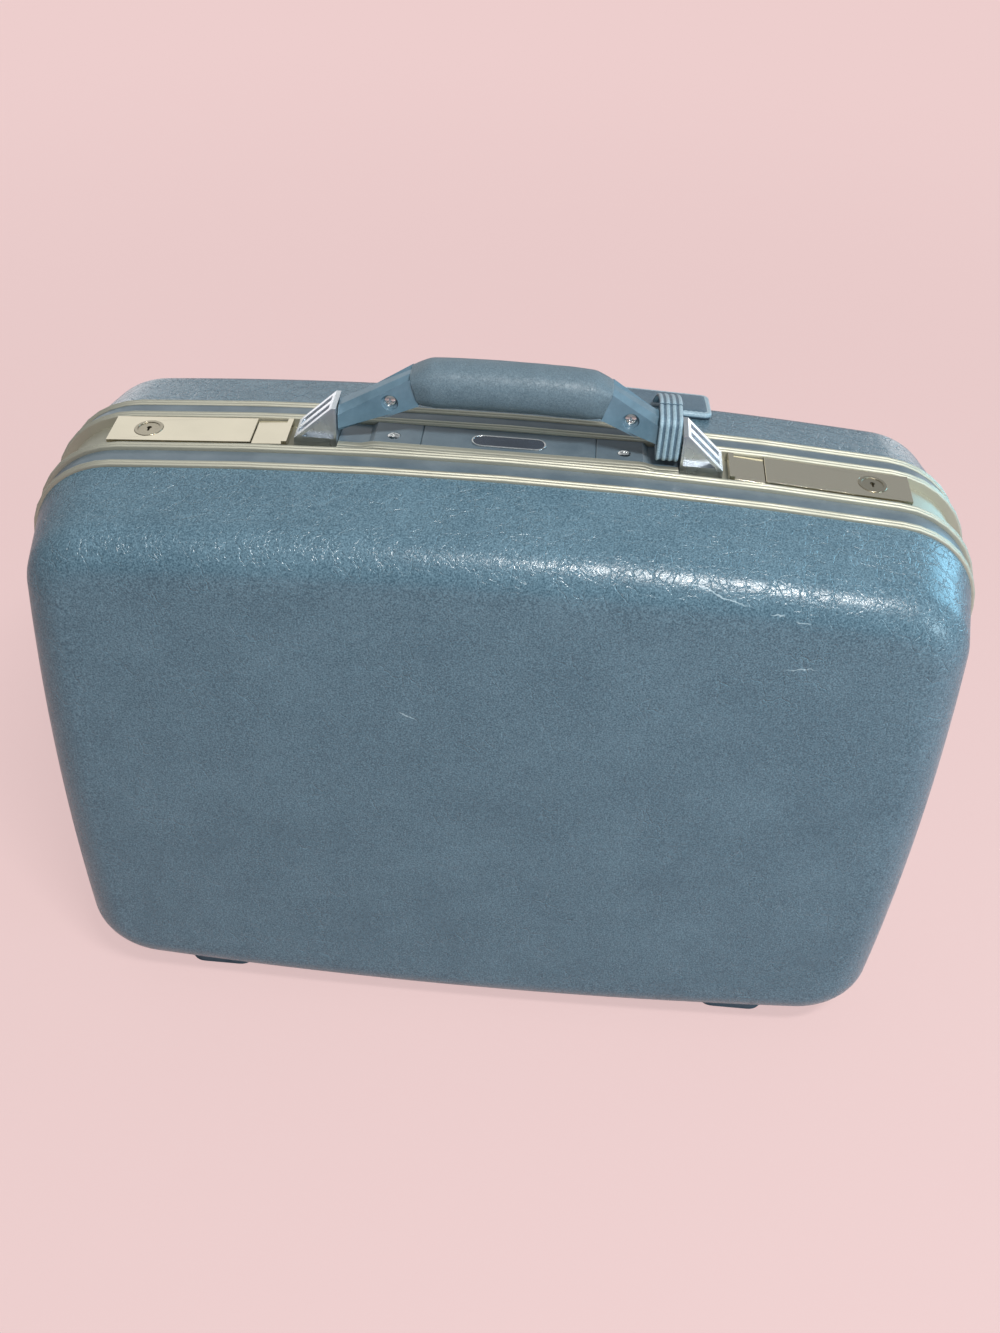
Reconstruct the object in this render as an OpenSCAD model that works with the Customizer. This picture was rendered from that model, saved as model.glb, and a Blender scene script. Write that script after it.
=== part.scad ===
// Hard-shell suitcase with a framed opening, standing on its feet.
// Two moulded shells meet at a beaded metal frame. The rear half carries the handle and the latches,
// and the front half is the lid, hinged along the bottom edge.
// X is the long way, Y is the depth with the lid towards -Y, Z is up and the floor is at zero.

/* [Case] */
// Width over the outer beads at half height
case_w = 530.4; // [480:0.1:600]
// Height over the outer beads at half width
case_h = 379.5; // [340:0.1:440]
// Depth from face to face
case_d = 189; // [160:1:220]
// Radius of the four corners at the outer beads
corner_r = 54; // [48:0.5:70]
// Radius of the bow along the top and the bottom
long_bow_r = 2450; // [1500:10:6000]
// Radius of the bow along the left and right sides
short_bow_r = 1950; // [1200:10:6000]
// Thickness of the moulded shells
shell_t = 2.8; // [2:0.1:4]
// Lean of the shell walls, in degrees
wall_draft = 10.8; // [6:0.1:14]
// Radius of the rounded edge between wall and face
edge_r = 25; // [18:0.5:28]
// How far the shell lies inside the outer bead
shell_step = 2.2; // [1.5:0.1:4]
// Distance from the outer bead at the bottom to the floor
floor_gap = 4.25; // [4:0.05:8]

/* [Frame] */
// Distance of the outer beads from the middle plane
bead_out_y = 32.2; // [30:0.1:36]
// Distance of the inner beads from the middle plane
bead_in_y = 16.6; // [16:0.1:18]
// Width of a bead
bead_w = 5; // [4:0.1:6]
// How far the inner beads stand out past the outer ones
bead_rise = 1.65; // [1:0.05:2.5]
// Depth of the channel floor below the outer bead line
channel_drop = 4.4; // [4:0.1:5]
// Thickness of the frame metal
frame_t = 1.6; // [1.2:0.1:2]
// Depth of the stripe's seat below the outer bead line
stripe_drop = 2.6; // [2.2:0.1:3]
// Position of the parting plane
part_y = -13.45; // [-13.6:0.05:-13.2]
// Gap between lid and body at the parting plane
part_gap = 0.5; // [0.4:0.1:0.8]

/* [Latches] */
// From the end of the case to the middle of a latch
latch_inset = 95.2; // [90:0.1:110]
// Length of a latch with its button
latch_l = 100; // [90:1:104]
// Width of a latch plate
latch_w = 25; // [24:0.5:25]
// Length of the sliding button
button_l = 20; // [16:1:22]
// Travel of the sliding button
slide_travel = 8; // [5:0.5:8]
// Position of the key lock from the latch middle
key_dx = 29.2; // [28:0.1:33]
// Outer radius of the key lock's ring
key_r = 8; // [6.5:0.1:8.5]

/* [Handle] */
// Height of the swing axis above the outer bead line
pivot_rise = 9.55; // [9.4:0.05:12]
// Inner face of the brackets from the centre
bracket_x = 92.9; // [88:0.1:96]
// Length of a bracket along the case
bracket_l = 23.4; // [20:0.1:24]
// Height of a bracket above the outer bead line
bracket_rise = 19.2; // [17:0.1:24]
// Where the legs join the grip
leg_in_x = 51; // [46:0.5:56]
// Height of the grip's middle above the outer bead line
grip_rise = 34.9; // [33:0.1:40]
// Radius of the grip at its middle
grip_r = 13; // [11:0.1:14]
// Radius of the grip at its ends
grip_end_r = 9.4; // [8.5:0.1:10.5]
// Radius of the swing pins
pin_r = 2.5; // [2:0.1:3]

/* [Feet and hinges] */
// From the end of the case to the middle of a foot
foot_inset = 92.2; // [85:0.1:110]
// Middle of each foot from the middle plane
foot_y = 62; // [55:0.5:66]
// Length of a foot
foot_l = 44; // [34:1:52]
// Width of a foot
foot_w = 20; // [16:1:22]
// Middle of each hinge from the centre
hinge_x = 110; // [90:1:130]
// Length of a hinge
hinge_l = 36; // [30:1:44]
// Radius of a hinge knuckle
knuckle_r = 2.6; // [2.2:0.1:2.8]
// Radius of a hinge pin
hinge_pin_r = 1.3; // [1:0.1:1.5]

/* [Inside] */
// Thickness of the lining
lining_t = 1; // [0.6:0.1:1.6]
// Width of the packing straps
pack_strap_w = 25; // [20:1:32]
// Height of the lid pocket
pocket_h = 170; // [120:5:200]
// Width of the lid pocket
pocket_w = 420; // [300:5:425]

/* [Tag] */
// Middle of the tag strap along the handle leg
tag_strap_x = 85.4; // [84:0.1:86]
// Width of the tag strap
tag_strap_w = 12.5; // [10:0.5:13]
// Thickness of the tag strap
tag_strap_t = 1.8; // [1.4:0.1:2.2]
// Length of the tag pouch
tag_l = 63; // [54:1:70]
// Width of the tag pouch
tag_w = 35; // [30:1:38]
// Thickness of the tag pouch
tag_t = 4; // [3:0.5:5]

/* [Hidden] */

// Fineness of small rounds and of the long bows
fn_small = 48;
fn_bow = 360;

half_w = case_w / 2;
half_h = case_h / 2;
face_y = case_d / 2;
zc = half_h + floor_gap;
latch_x = max(half_w - latch_inset, bracket_x + bracket_l + 1 + latch_l / 2);
foot_x = half_w - foot_inset;

// The outline is eight tangent arcs: four long bows and four corners between them
top_c = [0, half_h - long_bow_r];
side_c = [half_w - short_bow_r, 0];
bow_a = long_bow_r - corner_r;
bow_b = short_bow_r - corner_r;
bow_v = side_c - top_c;
bow_d = norm(bow_v);
bow_e = bow_v / bow_d;
bow_m = (bow_a * bow_a - bow_b * bow_b + bow_d * bow_d) / (2 * bow_d);
bow_n = sqrt(bow_a * bow_a - bow_m * bow_m);
corner_c = top_c + bow_m * bow_e + bow_n * [bow_e[1], -bow_e[0]];
top_a = atan2(corner_c[0], corner_c[1] - top_c[1]);
side_a = atan2(corner_c[1], corner_c[0] - side_c[0]);

// Channel between the beads of the rear half, and the two edges of the parting plane
body_edge_y = part_y + part_gap / 2;
lid_edge_y = part_y - part_gap / 2;
channel_y = (body_edge_y + 1.2 + bead_in_y - bead_w / 2) / 2;
ridge_r = bead_w / 4;

// Shell section: leaning wall, rounded edge, and a slow easing into the flat face
wall_n = [cos(wall_draft), sin(wall_draft)];
wall_d = [-sin(wall_draft), cos(wall_draft)];
wall_0 = [-shell_step, bead_out_y + bead_w / 2 + 0.2];
ease_r = 340;
flat_o = 7 - corner_r;
ease_c = [flat_o, face_y - ease_r];
edge_v = wall_0 - edge_r * wall_n - ease_c;
edge_p = edge_v * wall_d;
edge_s = -edge_p + sqrt(edge_p * edge_p - edge_v * edge_v + pow(ease_r - edge_r, 2));
edge_c = wall_0 - edge_r * wall_n + edge_s * wall_d;
edge_u = (edge_c - ease_c) / norm(edge_c - ease_c);
flange_o = -channel_drop;
flange_t = 2.6;
flange_y = 21;
edge_b = atan2(edge_u[1], edge_u[0]);

// Handle levels, measured from the outer bead line at the middle of the top
top_z = zc + half_h;
pivot_z = top_z + pivot_rise;
base_z = top_z - 0.1;
grip_z = top_z + grip_rise;
leg_x = bracket_x - 0.5;
leg_low_0 = top_z + 3.5;
leg_low_1 = top_z + 24.2;
leg_high_0 = top_z + 18.25;
leg_high_1 = top_z + 41.3;
leg_half_0 = 7.6;
leg_half_1 = 9.4;
leg_a = atan2(leg_low_1 - leg_low_0, leg_x - leg_in_x);
leg_top_a = atan2(leg_high_1 - leg_high_0, leg_x - leg_in_x);

// Hinge axis at the bottom
hinge_z = zc - half_h - 0.2;

// Latch slide levels below the outer bead line
cover_top = 0.4;
cover_t = 1;
button_top = cover_top - cover_t - 0.3;
tray_w = 22;
tray_t = 1.2;
tray_bot = -13;
bolt_y = channel_y;

blue = [0.40, 0.49, 0.55];
blue_dark = [0.33, 0.42, 0.49];
silver = [0.80, 0.78, 0.70];
steel = [0.70, 0.70, 0.68];
cloth = [0.72, 0.72, 0.70];

// Points along the outline, moved outward by o, as [x, height above the case's middle]
function arc_pts(c, r, a0, a1, n) = [
    for (i = [0 : n - 1])
        c + r * [cos(a0 + (a1 - a0) * i / n), sin(a0 + (a1 - a0) * i / n)]
];
function outline_pts(o, n_side = 4, n_top = 6) = concat(
    arc_pts(side_c, short_bow_r + o, -side_a, side_a, n_side),
    arc_pts(corner_c, corner_r + o, side_a, 90 - top_a, 8),
    arc_pts(top_c, long_bow_r + o, 90 - top_a, 90 + top_a, n_top),
    arc_pts([-corner_c[0], corner_c[1]], corner_r + o, 90 + top_a, 180 - side_a, 8),
    arc_pts(-side_c, short_bow_r + o, 180 - side_a, 180 + side_a, n_side),
    arc_pts(-corner_c, corner_r + o, 180 + side_a, 270 - top_a, 8),
    arc_pts(-top_c, long_bow_r + o, 270 - top_a, 270 + top_a, n_top),
    arc_pts([corner_c[0], -corner_c[1]], corner_r + o, 270 + top_a, 360 - side_a, 8)
);
ring_n = len(outline_pts(0));
function ring_pts(p) = [for (q = outline_pts(p[0])) [q[0], p[1], zc + q[1]]];
function band(a, b) = [
    for (i = [0 : ring_n - 1])
        let (k = (i + 1) % ring_n)
            each [[a + i, b + k, a + k], [a + i, b + i, b + k]]
];

// Carries a closed section, points of [outward, depth], all the way round the outline
module swept_ring(section) {
    n = len(section);
    polyhedron(
        [for (p = section) each ring_pts(p)],
        [for (j = [0 : n - 1]) each band((j + 1) % n * ring_n, j * ring_n)]
    );
}

// Carries an open profile round the outline and closes it with a flat middle at each end
module swept_cup(profile) {
    n = len(profile);
    first = n * ring_n;
    polyhedron(
        concat(
            [for (p = profile) each ring_pts(p)],
            [[0, profile[0][1], zc], [0, profile[n - 1][1], zc]]
        ),
        concat(
            [for (j = [0 : n - 2]) each band((j + 1) * ring_n, j * ring_n)],
            [for (i = [0 : ring_n - 1]) [first, (i + 1) % ring_n, i]],
            [for (i = [0 : ring_n - 1]) [first + 1, first - ring_n + i, first - ring_n + (i + 1) % ring_n]]
        )
    );
}

// The bottom bow of the outline, for cutting the feet
module along_bottom() {
    translate([0, 0, zc])
        rotate([90, 0, 0])
            mirror([0, 1, 0])
                translate([0, top_c[1], 0])
                    rotate([0, 0, 90 - top_a])
                        rotate_extrude(angle = 2 * top_a, $fn = fn_bow)
                            translate([long_bow_r, 0])
                                mirror([0, 1, 0])
                                    children();
}

// Flat panel inside the outline from y0 to y1
module panel(o, y0, y1, n_side = 4, n_top = 6) {
    translate([0, y1, zc])
        rotate([90, 0, 0])
            linear_extrude(y1 - y0)
                polygon(outline_pts(o, n_side, n_top));
}

// How far the top and bottom bows have fallen away at x
function bow_drop(x) = x * x / (2 * long_bow_r);

// Places its children on the outline at the top, tangent to the bow
module on_top(x) {
    translate([0, 0, zc + top_c[1]])
        rotate([0, asin(x / long_bow_r), 0])
            translate([0, 0, long_bow_r])
                children();
}
module both_sides() {
    children();
    mirror([1, 0, 0])
        children();
}
module lid_side() {
    mirror([0, 1, 0])
        children();
}

// Area inside the shell's outer skin, moved inward by k, from lip below the wall's foot
module shell_area(k, lip) {
    low = wall_0[1] - lip;
    polygon([wall_0 - k * wall_n - lip * wall_d, edge_c + (edge_r - k) * wall_n, edge_c, [edge_c[0], low]]);
    translate(edge_c)
        circle(edge_r - k + 0.02, $fn = fn_small * 2);
    intersection() {
        translate(ease_c)
            circle(ease_r - k, $fn = fn_bow);
        polygon([
            [flat_o, low],
            [edge_c[0], low],
            edge_c,
            edge_c + 2 * edge_r * edge_u,
            [flat_o, face_y + 2 * edge_r]
        ]);
    }
    translate([flat_o - 4, low])
        square([4, face_y - k - low]);
}

// Edge and easing of a skin that lies k inside the shell's outer skin
function edge_arc(k, n) = [
    for (i = [0 : n])
        let (t = wall_draft + (edge_b - wall_draft) * i / n)
            edge_c + (edge_r - k) * [cos(t), sin(t)]
];
function ease_mid(k) = ease_c + (ease_r - k) * [cos((edge_b + 90) / 2), sin((edge_b + 90) / 2)];
function wall_foot(k, o) = let (f = wall_0 - k * wall_n) f + wall_d * (f[0] - o) / sin(wall_draft);
function reversed(points) = [for (i = [len(points) - 1 : -1 : 0]) points[i]];

// Shell: outer skin, joggled flange that slips under the frame, and inner skin
function shell_outside() = concat(
    [[flange_o, flange_y], [flange_o, wall_0[1]], wall_0],
    edge_arc(0, 6),
    [ease_mid(0), [flat_o, face_y]]
);
function skin_inside(k, o, low) = concat(
    [[o, low], wall_foot(k, o)],
    edge_arc(k, 3),
    [[flat_o, face_y - k]]
);
module half_shell() {
    swept_cup(concat(
        reversed(skin_inside(shell_t, flange_o - flange_t, flange_y)),
        shell_outside()
    ));
}

// Cloth skin that follows the shell's inside, from the flange to the face
module half_lining() {
    k = shell_t + 0.1;
    o = flange_o - flange_t - 0.1;
    swept_cup(concat(
        reversed(skin_inside(k + lining_t, o - lining_t, flange_y - 0.5)),
        skin_inside(k, o, flange_y - 0.5)
    ));
}

// Bead of two fine ridges, as points from one side to the other
function ridge_pts(y, crown) = [
    for (i = [0 : 4])
        [crown - ridge_r + ridge_r * sin(45 * i), y - ridge_r * cos(45 * i)]
];
function bead_pts(y, crown) = concat(
    ridge_pts(y - ridge_r, crown),
    [for (i = [1 : 4]) ridge_pts(y + ridge_r, crown)[i]]
);

// Both beads of one half, with the seat of the stripe between them and the metal below
function beads_over() = concat(
    bead_pts(bead_in_y, bead_rise),
    [[-stripe_drop, bead_in_y + bead_w / 2], [-stripe_drop, bead_out_y - bead_w / 2]],
    bead_pts(bead_out_y, 0),
    [
        [-stripe_drop - frame_t, bead_out_y + bead_w / 2],
        [-stripe_drop - frame_t, bead_in_y + bead_w / 2],
        [-channel_drop - frame_t, bead_in_y + bead_w / 2]
    ]
);
module half_stripe() {
    gap = 0.15;
    lo = bead_in_y + bead_w / 2 + gap;
    hi = bead_out_y - bead_w / 2 - gap;
    difference() {
        panel(-1, lo, hi);
        panel(-stripe_drop + 0.02, lo - 1, hi + 1);
    }
}

module body_shell() {
    color(blue)
        half_shell();
}
module lid_shell() {
    color(blue)
        lid_side()
            half_shell();
}

// Openings in the rear frame for the latch trays, and the notches at the hinges
module latch_openings() {
    both_sides()
        on_top(latch_x)
            translate([-latch_l / 2 + 0.8, channel_y - tray_w / 2 - 0.2, -20])
                cube([latch_l - 1.6, tray_w + 0.4, 20 - stripe_drop]);
}
module body_frame() {
    low = -channel_drop - frame_t;
    rib_y = body_edge_y + 6.2;
    color(silver)
        difference() {
            swept_ring(concat(
                [
                    [low, body_edge_y],
                    [-stripe_drop, body_edge_y],
                    [-stripe_drop, body_edge_y + 1.2],
                    [-channel_drop, body_edge_y + 1.2],
                    [-channel_drop, bead_in_y - bead_w / 2]
                ],
                beads_over(),
                [
                    [low, rib_y + frame_t],
                    [low - 5, rib_y + frame_t],
                    [low - 5, rib_y],
                    [low, rib_y]
                ]
            ));
            latch_openings();
            both_sides()
                translate([hinge_x - hinge_l / 2 - 0.5, body_edge_y - 1, 0])
                    cube([hinge_l + 1, 2.6, zc - half_h + channel_drop + bow_drop(hinge_x - hinge_l / 2)]);
        }
}
module body_stripe() {
    color(blue_dark)
        half_stripe();
}

// The lid's frame has a tongue along the top and the sides that enters the rear half
module lid_tongue() {
    low = -channel_drop - frame_t - 2;
    intersection() {
        difference() {
            panel(low + 1.4, lid_edge_y - frame_t / 2, lid_edge_y + 4.2, 5, 7);
            panel(low, -case_d, case_d, 5, 7);
        }
        union() {
            translate([-108, -case_d, zc])
                cube([216, 2 * case_d, case_h]);
            translate([-case_w, -case_d, zc - 100])
                cube([2 * case_w, 2 * case_d, 200]);
        }
    }
}
module lid_frame() {
    edge = -lid_edge_y;
    low = -channel_drop - frame_t;
    color(silver)
        difference() {
            union() {
                lid_side()
                    swept_ring(concat(
                        [
                            [low - 5, edge],
                            [-stripe_drop, edge],
                            [-stripe_drop, edge + 0.2],
                            [-channel_drop, edge + 0.2]
                        ],
                        beads_over(),
                        [
                            [low, edge + frame_t],
                            [low - 5, edge + frame_t]
                        ]
                    ));
                lid_tongue();
            }
            both_sides() {
                translate([hinge_x - hinge_l / 2 - 0.5, part_y - knuckle_r - 0.8, 0])
                    cube([hinge_l + 1, 6, hinge_z + knuckle_r + 0.9]);
                translate([hinge_x - hinge_l / 6 - 0.4, -bead_in_y - bead_w / 2 - 0.5, 0])
                    cube([hinge_l / 3 + 0.8, 12, hinge_z + knuckle_r + 0.9]);
            }
        }
}
module lid_stripe() {
    color(blue_dark)
        lid_side()
            half_stripe();
}
module body_lining() {
    color(cloth)
        half_lining();
}
module lid_lining() {
    color(cloth)
        lid_side()
            half_lining();
}

// Moulded feet under the bottom wall, cut to sit on the shell
module foot_pair() {
    r = foot_w / 2;
    difference() {
        both_sides()
            translate([foot_x, foot_y, 0]) {
                for (s = [-1, 1])
                    translate([s * (foot_l / 2 - r), 0, 0]) {
                        cylinder(h = 2.5, r1 = r - 2, r2 = r, $fn = fn_small);
                        translate([0, 0, 2.5])
                            cylinder(h = 24, r = r, $fn = fn_small);
                    }
                rotate([90, 0, 90])
                    translate([0, 0, -foot_l / 2 + r])
                        linear_extrude(foot_l - foot_w)
                            polygon([[-r + 2, 0], [r - 2, 0], [r, 2.5], [r, 26.5], [-r, 26.5], [-r, 2.5]]);
            }
        along_bottom()
            shell_area(0, 10);
    }
}
module body_feet() {
    color(blue_dark)
        foot_pair();
}
module lid_feet() {
    color(blue_dark)
        lid_side()
            foot_pair();
}

// Hinges: two outer knuckles on the body leaf, one middle knuckle on the lid leaf, one pin
module hinge_tube(x0, x1) {
    translate([x0, part_y, hinge_z])
        rotate([0, 90, 0])
            cylinder(h = x1 - x0, r = knuckle_r, $fn = fn_small);
}
module hinge_bore(x0, x1, r) {
    translate([x0 - 0.1, part_y, hinge_z])
        rotate([0, 90, 0])
            cylinder(h = x1 - x0 + 0.2, r = r, $fn = fn_small);
}
module body_leaf() {
    x0 = hinge_x - hinge_l / 2;
    x1 = hinge_x + hinge_l / 2;
    third = hinge_l / 3;
    floor_z = zc - half_h + channel_drop + bow_drop(x0);
    difference() {
        union() {
            for (x = [x0, x1 - third + 0.2]) {
                hinge_tube(x, x + third - 0.2);
                translate([x, 0, 0])
                    rotate([90, 0, 90])
                        linear_extrude(third - 0.2)
                            polygon([
                                [part_y - 0.2, hinge_z + knuckle_r - 0.4],
                                [part_y + knuckle_r - 0.4, hinge_z],
                                [part_y + knuckle_r + 1.6, floor_z - 1.5],
                                [part_y + knuckle_r + 1.6, floor_z],
                                [part_y + 1.2, floor_z]
                            ]);
            }
            translate([x0, part_y + 1.2, floor_z - 1.5])
                cube([hinge_l, 22, 1.5]);
        }
        hinge_bore(x0, x1, hinge_pin_r);
        translate([hinge_x - third / 2 - 0.2, part_y - 5, hinge_z - 5])
            cube([third + 0.4, 5 + knuckle_r + 1.2, 12]);
    }
}
module hinge_leaves_body() {
    color(steel)
        both_sides()
            body_leaf();
}
module lid_leaf() {
    third = hinge_l / 3;
    x0 = hinge_x - third / 2 + 0.1;
    seat_z = zc - half_h + bow_drop(hinge_x - third / 2) + 0.9;
    difference() {
        union() {
            hinge_tube(x0, x0 + third - 0.2);
            translate([x0, 0, 0])
                rotate([90, 0, 90])
                    linear_extrude(third - 0.2)
                        polygon([
                            [part_y, hinge_z + knuckle_r - 0.3],
                            [part_y - knuckle_r + 0.3, hinge_z],
                            [-bead_out_y + bead_w / 2 + 0.4, seat_z - 1.4],
                            [-bead_out_y + bead_w / 2 + 0.4, seat_z],
                            [part_y - 1, seat_z]
                        ]);
        }
        hinge_bore(x0, x0 + third, hinge_pin_r + 0.05);
    }
}
module hinge_leaves_lid() {
    color(steel)
        both_sides()
            lid_leaf();
}
module hinge_pins() {
    color(steel)
        both_sides()
            translate([hinge_x - hinge_l / 2 + 0.3, part_y, hinge_z])
                rotate([0, 90, 0])
                    cylinder(h = hinge_l - 0.6, r = hinge_pin_r, $fn = fn_small);
}

// Blue moulded base under the handle: a middle piece and two ends that dip under the legs
module base_block(points) {
    y0 = body_edge_y + 1.4;
    y1 = bead_in_y - bead_w / 2 - 0.2;
    translate([0, y1, 0])
        rotate([90, 0, 0])
            linear_extrude(y1 - y0)
                polygon(points);
}
base_seam_x = 47.5;
base_low_z = top_z - channel_drop + 0.05;
screw_x = 63;
module handle_base() {
    color(blue_dark)
        difference() {
            base_block([
                [-base_seam_x, base_low_z],
                [base_seam_x, base_low_z],
                [base_seam_x, base_z - 0.4],
                [base_seam_x - 0.4, base_z],
                [0.4 - base_seam_x, base_z],
                [-base_seam_x, base_z - 0.4]
            ]);
            badge_shape(badge_l, badge_w, base_z - 0.8, 2);
        }
}
module handle_base_ends() {
    color(blue_dark)
        both_sides()
            difference() {
                base_block([
                    [base_seam_x + 0.15, base_low_z],
                    [bracket_x - 0.2, base_low_z],
                    [bracket_x - 0.2, base_z - 2.2],
                    [screw_x + 13, base_z - 2.2],
                    [screw_x + 10, base_z],
                    [base_seam_x + 0.55, base_z],
                    [base_seam_x + 0.15, base_z - 0.4]
                ]);
                translate([screw_x, channel_y, base_z - 1])
                    cylinder(h = 2, r = 3.6, $fn = fn_small);
                translate([screw_x, channel_y, base_low_z - 1])
                    cylinder(h = 6, r = 1.6, $fn = fn_small);
            }
}

// Cross-slotted screw with its head at z = 0 to head_h and its shank below
module cross_screw(head_r, head_h, shank_r, shank_l) {
    difference() {
        union() {
            intersection() {
                cylinder(h = head_h, r = head_r, $fn = fn_small);
                translate([0, 0, head_h - 2.5 * head_r])
                    sphere(2.5 * head_r, $fn = fn_small * 2);
            }
            translate([0, 0, -shank_l])
                cylinder(h = shank_l + head_h / 2, r = shank_r, $fn = fn_small);
        }
        for (a = [0, 90])
            rotate([0, 0, a])
                translate([-0.62 * head_r, -0.14 * head_r, head_h - 0.9])
                    cube([1.24 * head_r, 0.28 * head_r, 2]);
    }
}
module base_screws() {
    color(steel)
        both_sides()
            translate([screw_x, channel_y, base_z - 1])
                cross_screw(3.4, 1.6, 1.5, 2.5);
}

// Plain oval badge, left without words
badge_l = 41;
badge_w = 11.6;
badge_rim_w = 1;
module badge_shape(l, w, z, h) {
    translate([0, channel_y + 1, z])
        linear_extrude(h) {
            square([l - w, w], center = true);
            for (s = [-1, 1])
                translate([s * (l - w) / 2, 0])
                    circle(w / 2, $fn = fn_small);
        }
}
module badge_rim() {
    color(silver)
        difference() {
            badge_shape(badge_l - 0.2, badge_w - 0.2, base_z - 0.8, 1.4);
            badge_shape(badge_l - 2 * badge_rim_w, badge_w - 2 * badge_rim_w, base_z - 1, 2);
        }
}
module badge_field() {
    color([0.12, 0.16, 0.22])
        badge_shape(badge_l - 2 * badge_rim_w, badge_w - 2 * badge_rim_w, base_z - 0.8, 1.1);
}

// Die-cast bracket: a ramp that rises to the handle, with grooves up the ramp and hollow cheeks
bracket_half = 10;
cheek_t = 3;
bracket_low_z = top_z - channel_drop - 1.7;
bracket_high_z = top_z + bracket_rise;
bracket_toe_z = top_z - 0.6;
ramp_a = atan2(bracket_high_z - bracket_toe_z, bracket_l - 2.5);
ramp_l = norm([bracket_l - 2.5, bracket_high_z - bracket_toe_z]);
module bracket() {
    toe_x = bracket_x + bracket_l;
    color([0.74, 0.74, 0.73])
        difference() {
            translate([0, channel_y + bracket_half, 0])
                rotate([90, 0, 0])
                    linear_extrude(2 * bracket_half)
                        polygon([
                            [bracket_x, bracket_low_z],
                            [toe_x, bracket_low_z],
                            [toe_x, bracket_toe_z],
                            [bracket_x + 2.5, bracket_high_z],
                            [bracket_x, bracket_high_z]
                        ]);
            for (s = [-1, 1])
                translate([0, channel_y + s * (bracket_half - cheek_t) + (s < 0 ? 0 : cheek_t + 0.2), 0])
                    rotate([90, 0, 0])
                        linear_extrude(cheek_t + 0.2)
                            polygon([
                                [bracket_x + 1.6, bracket_toe_z + 1.4],
                                [toe_x - 4.2, bracket_toe_z + 1.4],
                                [bracket_x + 1.6, bracket_toe_z + 1.4 + (bracket_l - 5.8) * tan(ramp_a)]
                            ]);
            for (y = [-4.4, 4.4])
                translate([toe_x, channel_y + y, bracket_toe_z])
                    rotate([0, ramp_a - 90, 0])
                        translate([-1, -2.4, 2.4])
                            cube([2, 4.8, ramp_l - 4.8]);
            translate([bracket_x - 1, channel_y, pivot_z])
                rotate([0, 90, 0])
                    cylinder(h = 10, r = pin_r, $fn = fn_small);
        }
}
module bracket_right() {
    bracket();
}
module bracket_left() {
    mirror([1, 0, 0])
        bracket();
}
module pivot_pins() {
    color(steel)
        both_sides()
            translate([leg_x - 5.5, channel_y, pivot_z])
                rotate([0, 90, 0])
                    cylinder(h = bracket_x + 9 - leg_x + 5.5, r = pin_r, $fn = fn_small);
}

// Handle leg: a sloping bar with bevelled long edges, hollow for the steel core
core_h = 8;
core_half = 2;
core_slope_z = (leg_low_0 + leg_high_0) / 2;
core_points = [
    [-leg_x + 16, core_slope_z + 16 * tan(leg_a)],
    [-leg_in_x + 3, grip_z - 1.5],
    [leg_in_x - 3, grip_z - 1.5],
    [leg_x - 16, core_slope_z + 16 * tan(leg_a)]
];
function raised(points, dz) = [for (p = points) p + [0, dz]];
module core_bar() {
    translate([0, channel_y + core_half, 0])
        rotate([90, 0, 0])
            linear_extrude(2 * core_half)
                polygon(concat(
                    raised(core_points, -core_h / 2),
                    reversed(raised(core_points, core_h / 2))
                ));
}
module handle_core() {
    color(steel)
        difference() {
            core_bar();
            leg_screw_bores(1.75);
        }
}
leg_screw_z = leg_low_0 + (leg_x - screw_x - 1) * tan(leg_a) + 7;
module leg_screw_bores(r) {
    both_sides()
        translate([screw_x + 1, channel_y, leg_screw_z])
            rotate([90, 0, 0])
                cylinder(h = 12, r = r, center = true, $fn = fn_small);
}
leg_seam_dx = 2.5;
module leg_side_profile() {
    polygon([
        [leg_x, leg_low_0],
        [leg_x, leg_high_0],
        [leg_in_x + leg_seam_dx, leg_high_1 - leg_seam_dx * tan(leg_top_a)],
        [leg_in_x - leg_seam_dx, leg_low_1]
    ]);
}
module handle_leg() {
    bevel = 3.4;
    color(blue)
        difference() {
            intersection() {
                translate([0, channel_y + 20, 0])
                    rotate([90, 0, 0])
                        linear_extrude(40)
                            leg_side_profile();
                translate([0, channel_y, zc])
                    linear_extrude(2 * case_h)
                        polygon([
                            [leg_x, -leg_half_0],
                            [leg_x, leg_half_0],
                            [leg_in_x - 5, leg_half_1],
                            [leg_in_x - 5, -leg_half_1]
                        ]);
            }
            for (s = [-1, 1]) {
                translate([leg_x, channel_y + s * leg_half_0, leg_high_0])
                    rotate([0, leg_top_a - 180, 0])
                        rotate([45, 0, -s * 2.1])
                            translate([-10, -bevel * 0.75, -bevel * 0.75])
                                cube([90, bevel * 1.5, bevel * 1.5]);
                translate([leg_x, channel_y + s * leg_half_0, leg_low_0])
                    rotate([0, leg_a - 180, 0])
                        rotate([45, 0, -s * 2.1])
                            translate([-10, -bevel * 0.5, -bevel * 0.5])
                                cube([90, bevel, bevel]);
            }
            core_bar();
            translate([leg_x - 6, channel_y, pivot_z])
                rotate([0, 90, 0])
                    cylinder(h = 8, r = pin_r + 0.05, $fn = fn_small);
            leg_screw_bores(1.75);
            translate([screw_x + 1, channel_y - leg_half_0 + 0.6, leg_screw_z])
                rotate([90, 0, 0])
                    cylinder(h = 6, r = 4.6, $fn = fn_small);
            translate([screw_x + 1, channel_y - leg_half_0 + 1.8, leg_screw_z])
                rotate([90, 0, 0])
                    cylinder(h = 6, r = 3.4, $fn = fn_small);
        }
}
module handle_leg_right() {
    handle_leg();
}
module handle_leg_left() {
    mirror([1, 0, 0])
        handle_leg();
}
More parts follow.
